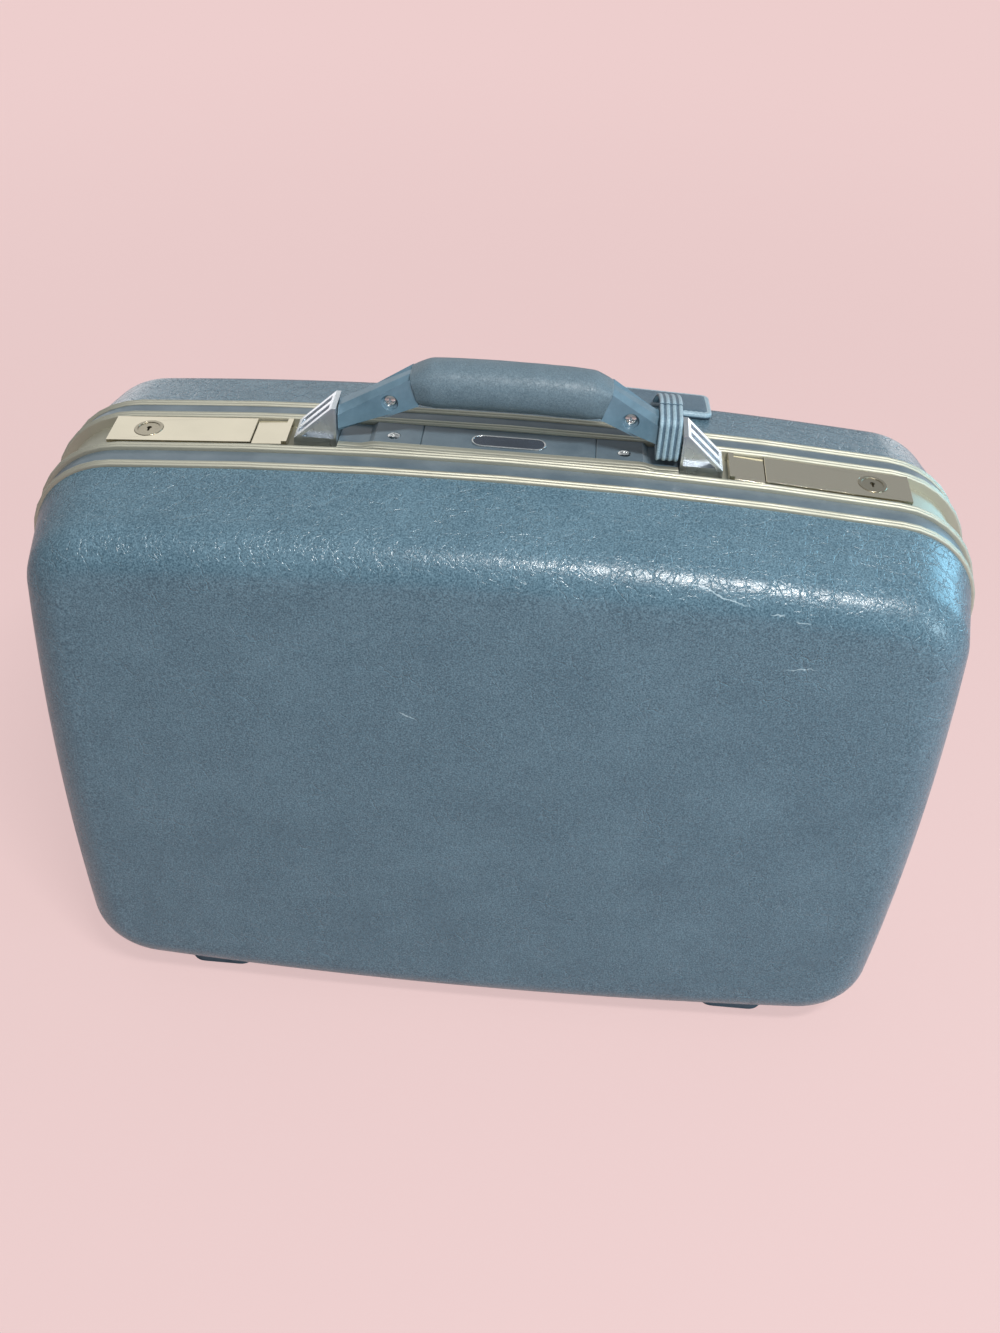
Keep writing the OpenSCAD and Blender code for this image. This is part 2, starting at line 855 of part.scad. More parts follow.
module leg_screws() {
    color(steel)
        both_sides()
            translate([screw_x + 1, channel_y - leg_half_0 + 1.8, leg_screw_z])
                rotate([90, 0, 0])
                    cross_screw(3.4, 1.6, 1.7, 11);
}

// Padded grip: nearly straight, then bent down and drawn in at its ends to meet the legs
grip_end_z = (leg_low_1 + leg_high_1 - leg_seam_dx * tan(leg_top_a)) / 2;
grip_tilt = atan2(2 * leg_seam_dx, leg_high_1 - leg_seam_dx * tan(leg_top_a) - leg_low_1);
grip_arch = 1.2;
grip_bend_x = 42;
grip_n = 28;
grip_at = [-1, -0.94, -0.88, -0.82, -0.7, -0.4, 0, 0.4, 0.7, 0.82, 0.88, 0.94, 1];
grip_m = len(grip_at) - 1;
function grip_ring(t) =
    let (x = t * (leg_in_x - 0.15))
    let (u = max(0, (abs(x) - grip_bend_x) / (leg_in_x - grip_bend_x)))
    let (tilt = grip_tilt * pow(t, 5))
    let (up = grip_r - (grip_r - grip_end_r + 0.6) * u)
    let (out = grip_r + 0.2 - (grip_r - grip_end_r - 0.4) * u)
    let (z = grip_z - grip_arch * t * t - (grip_z - grip_arch - grip_end_z) * u)
    [
        for (i = [0 : grip_n - 1])
            let (a = 360 * i / grip_n)
                [
                    x + up * sin(a) * sin(tilt),
                    channel_y + out * cos(a),
                    z + up * sin(a) * cos(tilt)
                ]
    ];
module handle_grip() {
    last = grip_m * grip_n;
    color(blue_dark)
        difference() {
            polyhedron(
                [for (t = grip_at) each grip_ring(t)],
                concat(
                    [
                        for (j = [0 : grip_m - 1])
                            for (i = [0 : grip_n - 1])
                                let (k = (i + 1) % grip_n, a = j * grip_n, b = a + grip_n)
                                    each [[a + i, b + i, b + k], [a + i, b + k, a + k]]
                    ],
                    [[for (i = [0 : grip_n - 1]) i]],
                    [[for (i = [grip_n - 1 : -1 : 0]) last + i]]
                )
            );
            core_bar();
        }
}

// Latch, drawn at its own middle: x outward along the case, y across the channel, z up
module latch_tray() {
    x0 = -latch_l / 2 + 1;
    x1 = latch_l / 2 - 1;
    y0 = channel_y - tray_w / 2;
    high_x = -latch_l / 2 + button_l + slide_travel + 0.5;
    color(steel)
        difference() {
            translate([x0, y0, tray_bot])
                cube([x1 - x0, tray_w, cover_top - cover_t - tray_bot]);
            translate([x0 + tray_t, y0 + tray_t, tray_bot + tray_t])
                cube([x1 - x0 - 2 * tray_t, tray_w - 2 * tray_t, 20]);
            translate([x0 - 1, y0 - 1, button_top - 2.3])
                cube([high_x - x0 + 1, tray_w + 2, 10]);
            translate([-14, y0 - 1, -11.2])
                cube([15, tray_t + 2, 5]);
        }
}
module latch_cover() {
    y0 = channel_y - latch_w / 2;
    x0 = -latch_l / 2 + button_l;
    skirt_x = x0 + slide_travel + 1;
    color(silver)
        difference() {
            union() {
                translate([x0, y0, cover_top - cover_t])
                    cube([latch_l - button_l, latch_w, cover_t]);
                for (y = [y0, y0 + latch_w - 0.9])
                    translate([skirt_x, y, -3])
                        cube([latch_l / 2 - skirt_x, 0.9, 3]);
                translate([latch_l / 2 - 0.9, y0, -3])
                    cube([0.9, latch_w, 3]);
            }
            translate([key_dx, channel_y, -5])
                cylinder(h = 10, r = key_r, $fn = fn_small);
        }
}
module latch_slide() {
    y0 = channel_y - latch_w / 2 + 0.4;
    x0 = -latch_l / 2;
    color(silver) {
        translate([x0, y0, button_top - 2])
            cube([button_l - 0.2, latch_w - 0.8, 2]);
        translate([x0, y0, button_top - 0.5])
            cube([3, latch_w - 0.8, 2.2]);
        translate([x0 + 4, channel_y - 4, -6.5])
            cube([button_l - 6, 8, 4]);
        translate([x0 + 4, channel_y - 4, -6.5])
            cube([latch_l / 2 + 11, 8, 2.4]);
        translate([-2.6, channel_y - 4.2, -10])
            cube([6.6, 2.6, 4]);
        translate([-2.6, channel_y - 8, -10])
            cube([6.6, 4, 2.4]);
        translate([-16, channel_y + 3, -6.5])
            cube([2, 6, 2.4]);
    }
}

// Flat zigzag return spring between the slide's tab and the tray
spring_n = 8;
spring_x0 = -13.9;
spring_x1 = 19.5;
function zig(i) = [spring_x0 + (spring_x1 - spring_x0) * i / spring_n, i % 2 == 0 ? 0 : 3.4];
module latch_spring() {
    color(steel)
        translate([0, channel_y + 4.8, -6.4])
            linear_extrude(1.6)
                polygon(concat(
                    [for (i = [0 : spring_n]) zig(i)],
                    [for (i = [spring_n : -1 : 0]) zig(i) + [0, 0.9]]
                ));
    color(steel)
        translate([spring_x1 - 0.05, channel_y + 4, tray_bot + tray_t])
            cube([1.6, 5, -tray_bot - tray_t - 4]);
}
module lock_plug() {
    color(silver)
        translate([key_dx, channel_y, 0])
            difference() {
                union() {
                    translate([0, 0, -9.6])
                        cylinder(h = 9.9, r = key_r - 1.95, $fn = fn_small);
                    translate([-1.6, 0, -9.6])
                        cube([3.2, 7, 1.6]);
                    translate([0, 0, tray_bot + tray_t + 0.3])
                        cylinder(h = 2.7, r = 3, $fn = fn_small);
                }
                translate([0, 0.9, -3.2])
                    cylinder(h = 5, r = 1.35, $fn = fn_small);
                translate([-0.6, -2.6, -3.2])
                    cube([1.2, 3.5, 5]);
            }
}
module lock_ring() {
    difference() {
        translate([key_dx, channel_y, -1.6])
            cylinder(h = 2.3, r = key_r, $fn = fn_small);
        translate([key_dx, channel_y, -5])
            cylinder(h = 10, r = key_r - 1.9, $fn = fn_small);
    }
}
module lock_rings() {
    color(silver)
        both_sides()
            on_top(latch_x)
                lock_ring();
}
module keeper() {
    difference() {
        union() {
            translate([-13, lid_edge_y, -10.2])
                cube([13, 1.4, 3.6]);
            translate([-10, lid_edge_y, -9.6])
                cube([7, 9, 2]);
        }
        translate([-11, channel_y - 7.8, -9.2])
            cube([9, 2.2, 1.2]);
    }
}
module latch_keepers() {
    color(steel)
        both_sides()
            on_top(latch_x)
                keeper();
}
module right_latch() {
    on_top(latch_x)
        children();
}
module left_latch() {
    mirror([1, 0, 0])
        on_top(latch_x)
            children();
}

module latch_tray_left() {
    left_latch()
        latch_tray();
}
module latch_tray_right() {
    right_latch()
        latch_tray();
}
module latch_cover_left() {
    left_latch()
        latch_cover();
}
module latch_cover_right() {
    right_latch()
        latch_cover();
}
module latch_slide_left() {
    left_latch()
        latch_slide();
}
module latch_slide_right() {
    right_latch()
        latch_slide();
}
module latch_spring_left() {
    left_latch()
        latch_spring();
}
module latch_spring_right() {
    right_latch()
        latch_spring();
}
module lock_plug_left() {
    left_latch()
        lock_plug();
}
module lock_plug_right() {
    right_latch()
        lock_plug();
}

// Packing straps across the rear lining, with a frame buckle in the middle
lining_y = face_y - shell_t - 0.1 - lining_t;
pack_z = half_h - 40;
module pack_strap(z0, z1) {
    color(blue_dark)
        translate([-pack_strap_w / 2, lining_y - 2, zc + z0])
            cube([pack_strap_w, 1.8, z1 - z0]);
}
module pack_strap_upper() {
    pack_strap(8, pack_z);
}
module pack_strap_lower() {
    pack_strap(-pack_z, -8);
}
module pack_buckle() {
    color(silver)
        translate([0, lining_y - 2, zc])
            rotate([90, 0, 0])
                linear_extrude(2.4)
                    difference() {
                        square([pack_strap_w + 14, 44], center = true);
                        for (s = [-1, 1])
                            translate([0, s * 11.5])
                                square([pack_strap_w + 3, 15], center = true);
                    }
}
module pack_anchors() {
    color(steel)
        for (s = [-1, 1])
            translate([0, lining_y - 2, zc + s * (pack_z - 6)])
                rotate([90, 0, 0]) {
                    linear_extrude(1)
                        square([pack_strap_w + 8, 10], center = true);
                    for (x = [-10, 10])
                        translate([x, 0, 0])
                            cylinder(h = 1.8, r = 2.2, $fn = fn_small);
                }
}

// Gathered pocket on the lid lining with an elastic band along its mouth
pocket_low = -half_h - flat_o + 11;
module lid_pocket() {
    color(cloth)
        translate([-pocket_w / 2, -lining_y + 0.2, zc + pocket_low])
            cube([pocket_w, 3.6, pocket_h]);
}
module lid_pocket_band() {
    color(blue_dark)
        translate([-pocket_w / 2, -lining_y + 3.4, zc + pocket_low + pocket_h + 3.2])
            rotate([0, 90, 0])
                cylinder(h = pocket_w, r = 3.2, $fn = fn_small);
}

// Address tag: a strap looped level round the right leg and a flat pouch lying on the rear shell, face down
tag_x0 = tag_strap_x - tag_strap_w / 2;
tag_x1 = tag_strap_x + tag_strap_w / 2;
tag_low = leg_low_0 + (leg_x - tag_x1) * tan(leg_a) - 0.4;
tag_high = leg_high_0 + (leg_x - tag_x0) * tan(leg_top_a) + 0.4;
leg_flare = (leg_half_1 - leg_half_0) / (leg_x - leg_in_x + 5);
tag_half = leg_half_0 + leg_flare * (leg_x - tag_x0) + 0.4;
module tag_loop_area(k) {
    polygon([
        [tag_x0, tag_low - k],
        [tag_x1, tag_low - k],
        [tag_x1, tag_high + k],
        [tag_x0, tag_high + k]
    ]);
}
module depth_extrude(half) {
    translate([0, channel_y + half, 0])
        rotate([90, 0, 0])
            linear_extrude(2 * half)
                children();
}
tag_front_y = 58;
tag_drop_z = top_z - shell_step - (tag_front_y - wall_0[1]) * tan(wall_draft) - bow_drop(tag_strap_x);
tag_tail_0 = [channel_y + tag_half + 0.4, tag_high + 0.4];
tag_tail_1 = [tag_front_y + 4, tag_drop_z + tag_t + 1.2];
tag_tail_a = atan2(tag_tail_1[1] - tag_tail_0[1], tag_tail_1[0] - tag_tail_0[0]);
module tag_strap() {
    color(blue)
        union() {
            difference() {
                depth_extrude(tag_half + tag_strap_t)
                    tag_loop_area(tag_strap_t);
                depth_extrude(tag_half)
                    tag_loop_area(0);
            }
            translate([tag_strap_x - tag_strap_w / 2, tag_tail_0[0], tag_tail_0[1]])
                rotate([tag_tail_a, 0, 0])
                    cube([tag_strap_w, norm(tag_tail_1 - tag_tail_0), tag_strap_t]);
        }
}
module on_rear_wall() {
    translate([tag_strap_x - 3, tag_front_y, tag_drop_z + 0.5])
        rotate([-wall_draft, asin(tag_strap_x / long_bow_r), 0])
            children();
}
module tag_pouch() {
    color(blue_dark)
        on_rear_wall()
            difference() {
                translate([-tag_l / 2, 0, 0])
                    cube([tag_l, tag_w, tag_t]);
                translate([-tag_l / 2 + 7, 6, -1.4])
                    cube([tag_l - 14, tag_w - 12, 2]);
                for (x = [-1, 1])
                    for (y = [0, tag_w])
                        translate([x * tag_l / 2, y, -1])
                            rotate([0, 0, 45])
                                cube([4, 4, 20], center = true);
            }
}
module tag_window() {
    color([0.85, 0.87, 0.85])
        on_rear_wall()
            translate([-tag_l / 2 + 7.1, 6.1, 0.1])
                cube([tag_l - 14.2, tag_w - 12.2, 0.5]);
}

body_shell();
body_frame();
body_stripe();
body_lining();
body_feet();
hinge_leaves_body();
hinge_pins();
handle_base();
handle_base_ends();
base_screws();
badge_rim();
badge_field();
bracket_left();
bracket_right();
pivot_pins();
latch_tray_left();
latch_tray_right();
latch_cover_left();
latch_cover_right();
lock_rings();
latch_spring_left();
latch_spring_right();
pack_strap_upper();
pack_strap_lower();
pack_buckle();
pack_anchors();
lid_shell();
lid_frame();
lid_stripe();
lid_lining();
lid_feet();
hinge_leaves_lid();
latch_keepers();
lid_pocket();
lid_pocket_band();
latch_slide_left();
latch_slide_right();
lock_plug_left();
lock_plug_right();
handle_grip();
handle_core();
handle_leg_left();
handle_leg_right();
leg_screws();
tag_strap();
tag_pouch();
tag_window();
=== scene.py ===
import math
import bmesh
import bpy
from mathutils import Matrix, Vector, noise


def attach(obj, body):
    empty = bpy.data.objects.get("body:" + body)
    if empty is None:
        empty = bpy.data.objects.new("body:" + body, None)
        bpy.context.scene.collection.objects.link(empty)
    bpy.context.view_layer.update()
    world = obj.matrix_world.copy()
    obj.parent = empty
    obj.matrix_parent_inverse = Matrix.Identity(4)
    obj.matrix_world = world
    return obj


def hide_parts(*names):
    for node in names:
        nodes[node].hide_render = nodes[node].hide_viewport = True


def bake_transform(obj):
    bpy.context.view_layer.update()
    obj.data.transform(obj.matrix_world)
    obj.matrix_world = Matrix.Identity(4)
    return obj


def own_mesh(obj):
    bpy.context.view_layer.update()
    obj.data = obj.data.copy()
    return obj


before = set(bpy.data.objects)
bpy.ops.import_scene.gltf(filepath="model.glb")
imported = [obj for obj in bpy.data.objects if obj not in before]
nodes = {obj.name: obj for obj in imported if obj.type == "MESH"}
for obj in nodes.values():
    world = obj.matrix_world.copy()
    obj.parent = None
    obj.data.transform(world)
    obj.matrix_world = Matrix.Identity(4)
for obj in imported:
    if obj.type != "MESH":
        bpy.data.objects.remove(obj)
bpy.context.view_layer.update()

# The view. The case stands upright and is looked down on from in front, a little to the right of its middle,
# with the picture leaning slightly to one side. Sizes in this file are in millimetres until a mesh is made.
MM = 0.001
PICTURE_HEIGHT_PX = 1333
FOCAL_PX = 1415.41
EYE = Vector((27.84, -665.45, 789.55)) * MM
PITCH, YAW, ROLL = (math.radians(a) for a in (-40.251, 2.207, 3.274))

turn = Matrix.Rotation(YAW, 3, "Z") @ Matrix.Rotation(PITCH, 3, "X")
right, ahead, up = turn.col[0], turn.col[1], turn.col[2]
right, up = math.cos(ROLL) * right + math.sin(ROLL) * up, math.cos(ROLL) * up - math.sin(ROLL) * right
lens = bpy.data.cameras.new("camera")
lens.sensor_fit = "VERTICAL"
lens.sensor_height = 36
lens.lens = 36 * FOCAL_PX / PICTURE_HEIGHT_PX
camera = bpy.data.objects.new("camera", lens)
camera.matrix_world = Matrix.Translation(EYE) @ Matrix((right, up, -ahead)).transposed().to_4x4()
bpy.context.scene.collection.objects.link(camera)
bpy.context.scene.camera = camera
bpy.context.scene.view_settings.view_transform = "Standard"


# The floor is one pale, see-through sheet, the same pale pink as the surround behind it, so that the lid can still
# be seen when it swings open below the edge that the case stands on. It thins out to nothing far from the case.
def ink(r, g, b):
    """A colour as it shows on a screen, 0 to 255, as the shader's own values."""
    shares = (r / 255, g / 255, b / 255)
    return tuple((c / 12.92 if c <= 0.04045 else ((c + 0.055) / 1.055) ** 2.4) for c in shares) + (1,)


def lay(tree, kind, put={}, **sockets):
    """Adds a shader node. A socket takes a value or another node's output; _0 is the first socket."""
    made = tree.nodes.new("ShaderNode" + kind)
    for name, value in put.items():
        setattr(made, name, value)
    for name, value in sockets.items():
        socket = made.inputs[int(name[1:])] if name[0] == "_" else made.inputs[name.replace("_", " ")]
        if isinstance(value, bpy.types.NodeSocket):
            tree.links.new(value, socket)
        else:
            socket.default_value = value
    return made


def new_finish(name, **sockets):
    finish = bpy.data.materials.new(name)
    finish.use_nodes = True
    shader = finish.node_tree.nodes["Principled BSDF"]
    for socket, value in sockets.items():
        shader.inputs[socket.replace("_", " ")].default_value = value
    return finish, finish.node_tree, shader


floor_mesh = bpy.data.meshes.new("floor")
FLOOR_HALF = 9
corners = [(x * FLOOR_HALF, y * FLOOR_HALF, 0) for x, y in ((-1, -1), (1, -1), (1, 1), (-1, 1))]
floor_mesh.from_pydata(corners, [], [(0, 1, 2, 3)])
floor = bpy.data.objects.new("floor", floor_mesh)
bpy.context.scene.collection.objects.link(floor)
paper, tree, shader = new_finish("pale_paper", Roughness=0.95, Specular_IOR_Level=0.1)
path = lay(tree, "LightPath").outputs
mirrored = lay(tree, "Math", {"operation": "MAXIMUM"}, _0=path["Is Glossy Ray"], _1=path["Is Transmission Ray"])
seen = lay(tree, "Math", {"operation": "MAXIMUM"}, _0=path["Is Camera Ray"], _1=mirrored.outputs[0])
shown = lay(tree, "MixRGB", Fac=seen.outputs[0], Color1=ink(178, 177, 176), Color2=ink(212, 186, 185))
tree.links.new(shown.outputs[0], shader.inputs["Base Color"])
away = lay(tree, "VectorMath", {"operation": "LENGTH"}, _0=lay(tree, "TexCoord").outputs["Object"])
clear = lay(tree, "MapRange", {"interpolation_type": "SMOOTHSTEP"}, Value=away.outputs["Value"],
            From_Min=0.3, From_Max=2.0, To_Min=0.78, To_Max=1.0)
past = lay(tree, "Math", {"operation": "MULTIPLY_ADD"},
           _0=path["Is Camera Ray"], _1=clear.outputs[0], _2=path["Is Shadow Ray"])
sheet = lay(tree, "MixShader", _0=past.outputs[0], _1=shader.outputs[0], _2=lay(tree, "BsdfTransparent").outputs[0])
tree.links.new(sheet.outputs[0], tree.nodes["Material Output"].inputs["Surface"])
floor.data.materials.append(paper)

# Plain soft studio light: a pale surround, lighter low down behind the case, a key above and in front on the right,
# a wide card high behind on the left that the polished metal mirrors, and a cool fill from the right. Seen only in
# what shines are two low reflectors behind, for the brackets' ramps, and a cool window on the right.
surround = bpy.data.worlds.new("surround")
surround.use_nodes = True
tree = surround.node_tree
way = lay(tree, "SeparateXYZ", Vector=lay(tree, "TexCoord").outputs["Generated"])
fade = lay(tree, "MapRange", Value=way.outputs["Z"], From_Min=-0.2, From_Max=0.9, To_Min=0.26, To_Max=0.53)
behind = lay(tree, "MapRange", Value=way.outputs["Y"], From_Min=0.2, From_Max=0.9, To_Min=0.0, To_Max=0.55)
low_down = lay(tree, "MapRange", Value=way.outputs["Z"], From_Min=0.12, From_Max=0.42, To_Min=1.0, To_Max=0.0)
lift = lay(tree, "Math", {"operation": "MULTIPLY_ADD"},
           _0=behind.outputs[0], _1=low_down.outputs[0], _2=fade.outputs[0])
light = tree.nodes["Background"]
light.inputs["Color"].default_value = (0.93, 0.97, 1.0, 1)
tree.links.new(lift.outputs[0], light.inputs["Strength"])
plain = lay(tree, "Background", Color=ink(237, 206, 205))
straight = lay(tree, "LightPath").outputs["Is Camera Ray"]
view = lay(tree, "MixShader", _0=straight, _1=light.outputs[0], _2=plain.outputs[0])
tree.links.new(view.outputs[0], tree.nodes["World Output"].inputs["Surface"])
bpy.context.scene.world = surround


def soft_light(name, at, aim, size, watts, tint):
    lamp = bpy.data.lights.new(name, "AREA")
    lamp.shape = "RECTANGLE"
    lamp.size, lamp.size_y = size
    lamp.energy = watts
    lamp.color = tint
    held = bpy.data.objects.new(name, lamp)
    held.location = at
    held.rotation_euler = (Vector(aim) - Vector(at)).to_track_quat("-Z", "Y").to_euler()
    bpy.context.scene.collection.objects.link(held)


TOP_EDGE_M = 0.38
soft_light("key", (0.4, -0.88, 1.72), (0.12, -0.08, 0.36), (0.42, 0.12), 33, (1.0, 0.985, 0.96))
soft_light("card", (-0.66, 1.26, 1.12), (-0.17, 0.0, TOP_EDGE_M), (1.0, 0.7), 1.35, (1.0, 0.97, 0.92))
soft_light("fill", (1.3, -0.75, 0.7), (0.22, 0.0, 0.25), (0.4, 0.7), 9.5, (0.66, 0.89, 1.0))
for name, at, size, watts, tint in (
        ("left_reflector", (-0.67, 0.93, 0.24), (0.4, 0.4), 0.55, (1.0, 1.0, 1.0)),
        ("right_reflector", (0.68, 0.96, 0.28), (0.4, 0.4), 0.7, (1.0, 1.0, 1.0)),
        ("window", (1.25, 0.7, 0.66), (0.5, 0.8), 9.0, (0.32, 0.74, 1.0))):
    soft_light(name, at, (0.15 * at[0], 0.0, TOP_EDGE_M), size, watts, tint)
    bpy.data.objects[name].visible_camera = False
    bpy.data.objects[name].visible_diffuse = False

# The shells are moulded in tough plastic with a pressed leather grain, about three millimetres thick.
# Each is a shallow tray with bowed sides, leaning walls and a broad rounded edge, and a joggled lip that slips
# under the metal frame.
HALF_W, HALF_H, CORNER_R = 265.2, 189.75, 54.0
LONG_BOW, SHORT_BOW = 2450.0, 1950.0
MIDDLE_Z = 194.0
FACE_Y, SHELL_T, DRAFT, EDGE_R = 94.5, 2.8, math.radians(10.8), 25.0
SHELL_STEP, BEAD_OUT_Y, BEAD_IN_Y, BEAD_W = 2.2, 32.2, 16.6, 5.0
LIP_OUT, LIP_T, LIP_Y = -4.4, 2.6, 21.0

top_c = Vector((0, HALF_H - LONG_BOW))
side_c = Vector((HALF_W - SHORT_BOW, 0))
to_top, to_side = LONG_BOW - CORNER_R, SHORT_BOW - CORNER_R
between = side_c - top_c
along = between.normalized()
share = (to_top ** 2 - to_side ** 2 + between.length_squared) / (2 * between.length)
corner_c = top_c + share * along + math.sqrt(to_top ** 2 - share ** 2) * Vector((along.y, -along.x))
top_a = math.atan2(corner_c.x, corner_c.y - top_c.y)
side_a = math.atan2(corner_c.y, corner_c.x - side_c.x)


def outline(out, sides=26, corners=22, tops=40):
    quarter = math.pi / 2
    arcs = (
        (side_c, SHORT_BOW, -side_a, side_a, sides),
        (corner_c, CORNER_R, side_a, quarter - top_a, corners),
        (top_c, LONG_BOW, quarter - top_a, quarter + top_a, tops),
        (Vector((-corner_c.x, corner_c.y)), CORNER_R, quarter + top_a, 2 * quarter - side_a, corners),
        (-side_c, SHORT_BOW, 2 * quarter - side_a, 2 * quarter + side_a, sides),
        (-corner_c, CORNER_R, 2 * quarter + side_a, 3 * quarter - top_a, corners),
        (-top_c, LONG_BOW, 3 * quarter - top_a, 3 * quarter + top_a, tops),
        (Vector((corner_c.x, -corner_c.y)), CORNER_R, 3 * quarter + top_a, 4 * quarter - side_a, corners),
    )
    return [
        centre + (radius + out) * Vector((math.cos(a0 + (a1 - a0) * i / n), math.sin(a0 + (a1 - a0) * i / n)))
        for centre, radius, a0, a1, n in arcs for i in range(n)
    ]


def new_piece(name, points, faces, body, finish, sharp=35):
    """Makes a piece from points in millimetres, with its faces turned outward where it is closed."""
    mesh = bpy.data.meshes.new(name)
    mesh.from_pydata([Vector(p) * MM for p in points], [], faces)
    mesh.validate()
    turned = bmesh.new()
    turned.from_mesh(mesh)
    if all(edge.is_manifold for edge in turned.edges):
        bmesh.ops.recalc_face_normals(turned, faces=turned.faces)
        turned.to_mesh(mesh)
    turned.free()
    mesh.polygons.foreach_set("use_smooth", [True] * len(mesh.polygons))
    mesh.set_sharp_from_angle(angle=math.radians(sharp))
    mesh.materials.append(finish)
    piece = bpy.data.objects.new(name, mesh)
    bpy.context.scene.collection.objects.link(piece)
    if body:
        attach(piece, body)
    return piece


def swept(profile, side, closed):
    """Carries a profile of (outward, depth) round the outline. An open one ends in a flat face at both ends."""
    points, faces = [], []
    count = len(outline(0))
    for out, depth in profile:
        points += [(p.x, side * depth, MIDDLE_Z + p.y) for p in outline(out)]
    rings = len(profile)
    for j in range(rings if closed else rings - 1):
        a, b = j * count, (j + 1) % rings * count
        for i in range(count):
            k = (i + 1) % count
            faces.append((a + i, b + i, b + k, a + k) if side < 0 else (a + k, b + k, b + i, a + i))
    if not closed:
        for j, flip in ((0, side < 0), (rings - 1, side > 0)):
            rim = [j * count + i for i in range(count)]
            for share in (0.8, 0.55, 0.3, 0.1):
                start = len(points)
                points += [
                    (points[r][0] * share, points[r][1], MIDDLE_Z + (points[r][2] - MIDDLE_Z) * share)
                    for r in range(j * count, (j + 1) * count)
                ]
                for i in range(count):
                    k = (i + 1) % count
                    face = (rim[i], rim[k], start + k, start + i)
                    faces.append(face[::-1] if flip else face)
                rim = [start + i for i in range(count)]
            faces.append(tuple(rim[::-1] if flip else rim))
    return points, faces


wall_out = Vector((math.cos(DRAFT), math.sin(DRAFT)))
wall_up = Vector((-math.sin(DRAFT), math.cos(DRAFT)))
wall_foot = Vector((-SHELL_STEP, BEAD_OUT_Y + BEAD_W / 2 + 0.2))
EASE_R, FLAT_CORNER_R = 340.0, 7.0
flat_out = FLAT_CORNER_R - CORNER_R
ease_c = Vector((flat_out, FACE_Y - EASE_R))
reach = wall_foot - EDGE_R * wall_out - ease_c
lean = reach.dot(wall_up)
edge_c = wall_foot - EDGE_R * wall_out + wall_up * (
    -lean + math.sqrt(lean ** 2 - reach.length_squared + (EASE_R - EDGE_R) ** 2))
edge_end = math.atan2((edge_c - ease_c).y, (edge_c - ease_c).x)


def skin(depth_in, steps):
    """The wall's rounded edge and its easing into the face, at a distance inside the outer skin."""
    rim = [edge_c + (EDGE_R - depth_in) * Vector((math.cos(a), math.sin(a)))
           for a in (DRAFT + (edge_end - DRAFT) * i / steps for i in range(steps + 1))]
    ease = [ease_c + (EASE_R - depth_in) * Vector((math.cos(a), math.sin(a)))
            for a in (edge_end + (math.pi / 2 - edge_end) * i / 6 for i in range(1, 7))]
    return rim + ease


def inside_skin(depth_in, out, low):
    foot = wall_foot - depth_in * wall_out
    meet = foot + wall_up * (foot.x - out) / math.sin(DRAFT)
    return [Vector((out, low)), meet] + skin(depth_in, 8)


outer_wall = [wall_foot + wall_up * (edge_c + EDGE_R * wall_out - wall_foot).length * s for s in (0, 0.33, 0.66)]
outer = [Vector((LIP_OUT, LIP_Y)), Vector((LIP_OUT, wall_foot.y))] + outer_wall + skin(0, 16)
shell_profile = inside_skin(SHELL_T, LIP_OUT - LIP_T, LIP_Y)[::-1] + outer


def two_tone(tree, tone, dark, light, dark_at=0.3, light_at=0.75):
    base = lay(tree, "ValToRGB", Fac=tone)
    for stop, (place, shade) in zip(base.color_ramp.elements, ((dark_at, dark), (light_at, light))):
        stop.position, stop.color = place, shade
    return base.outputs[0]


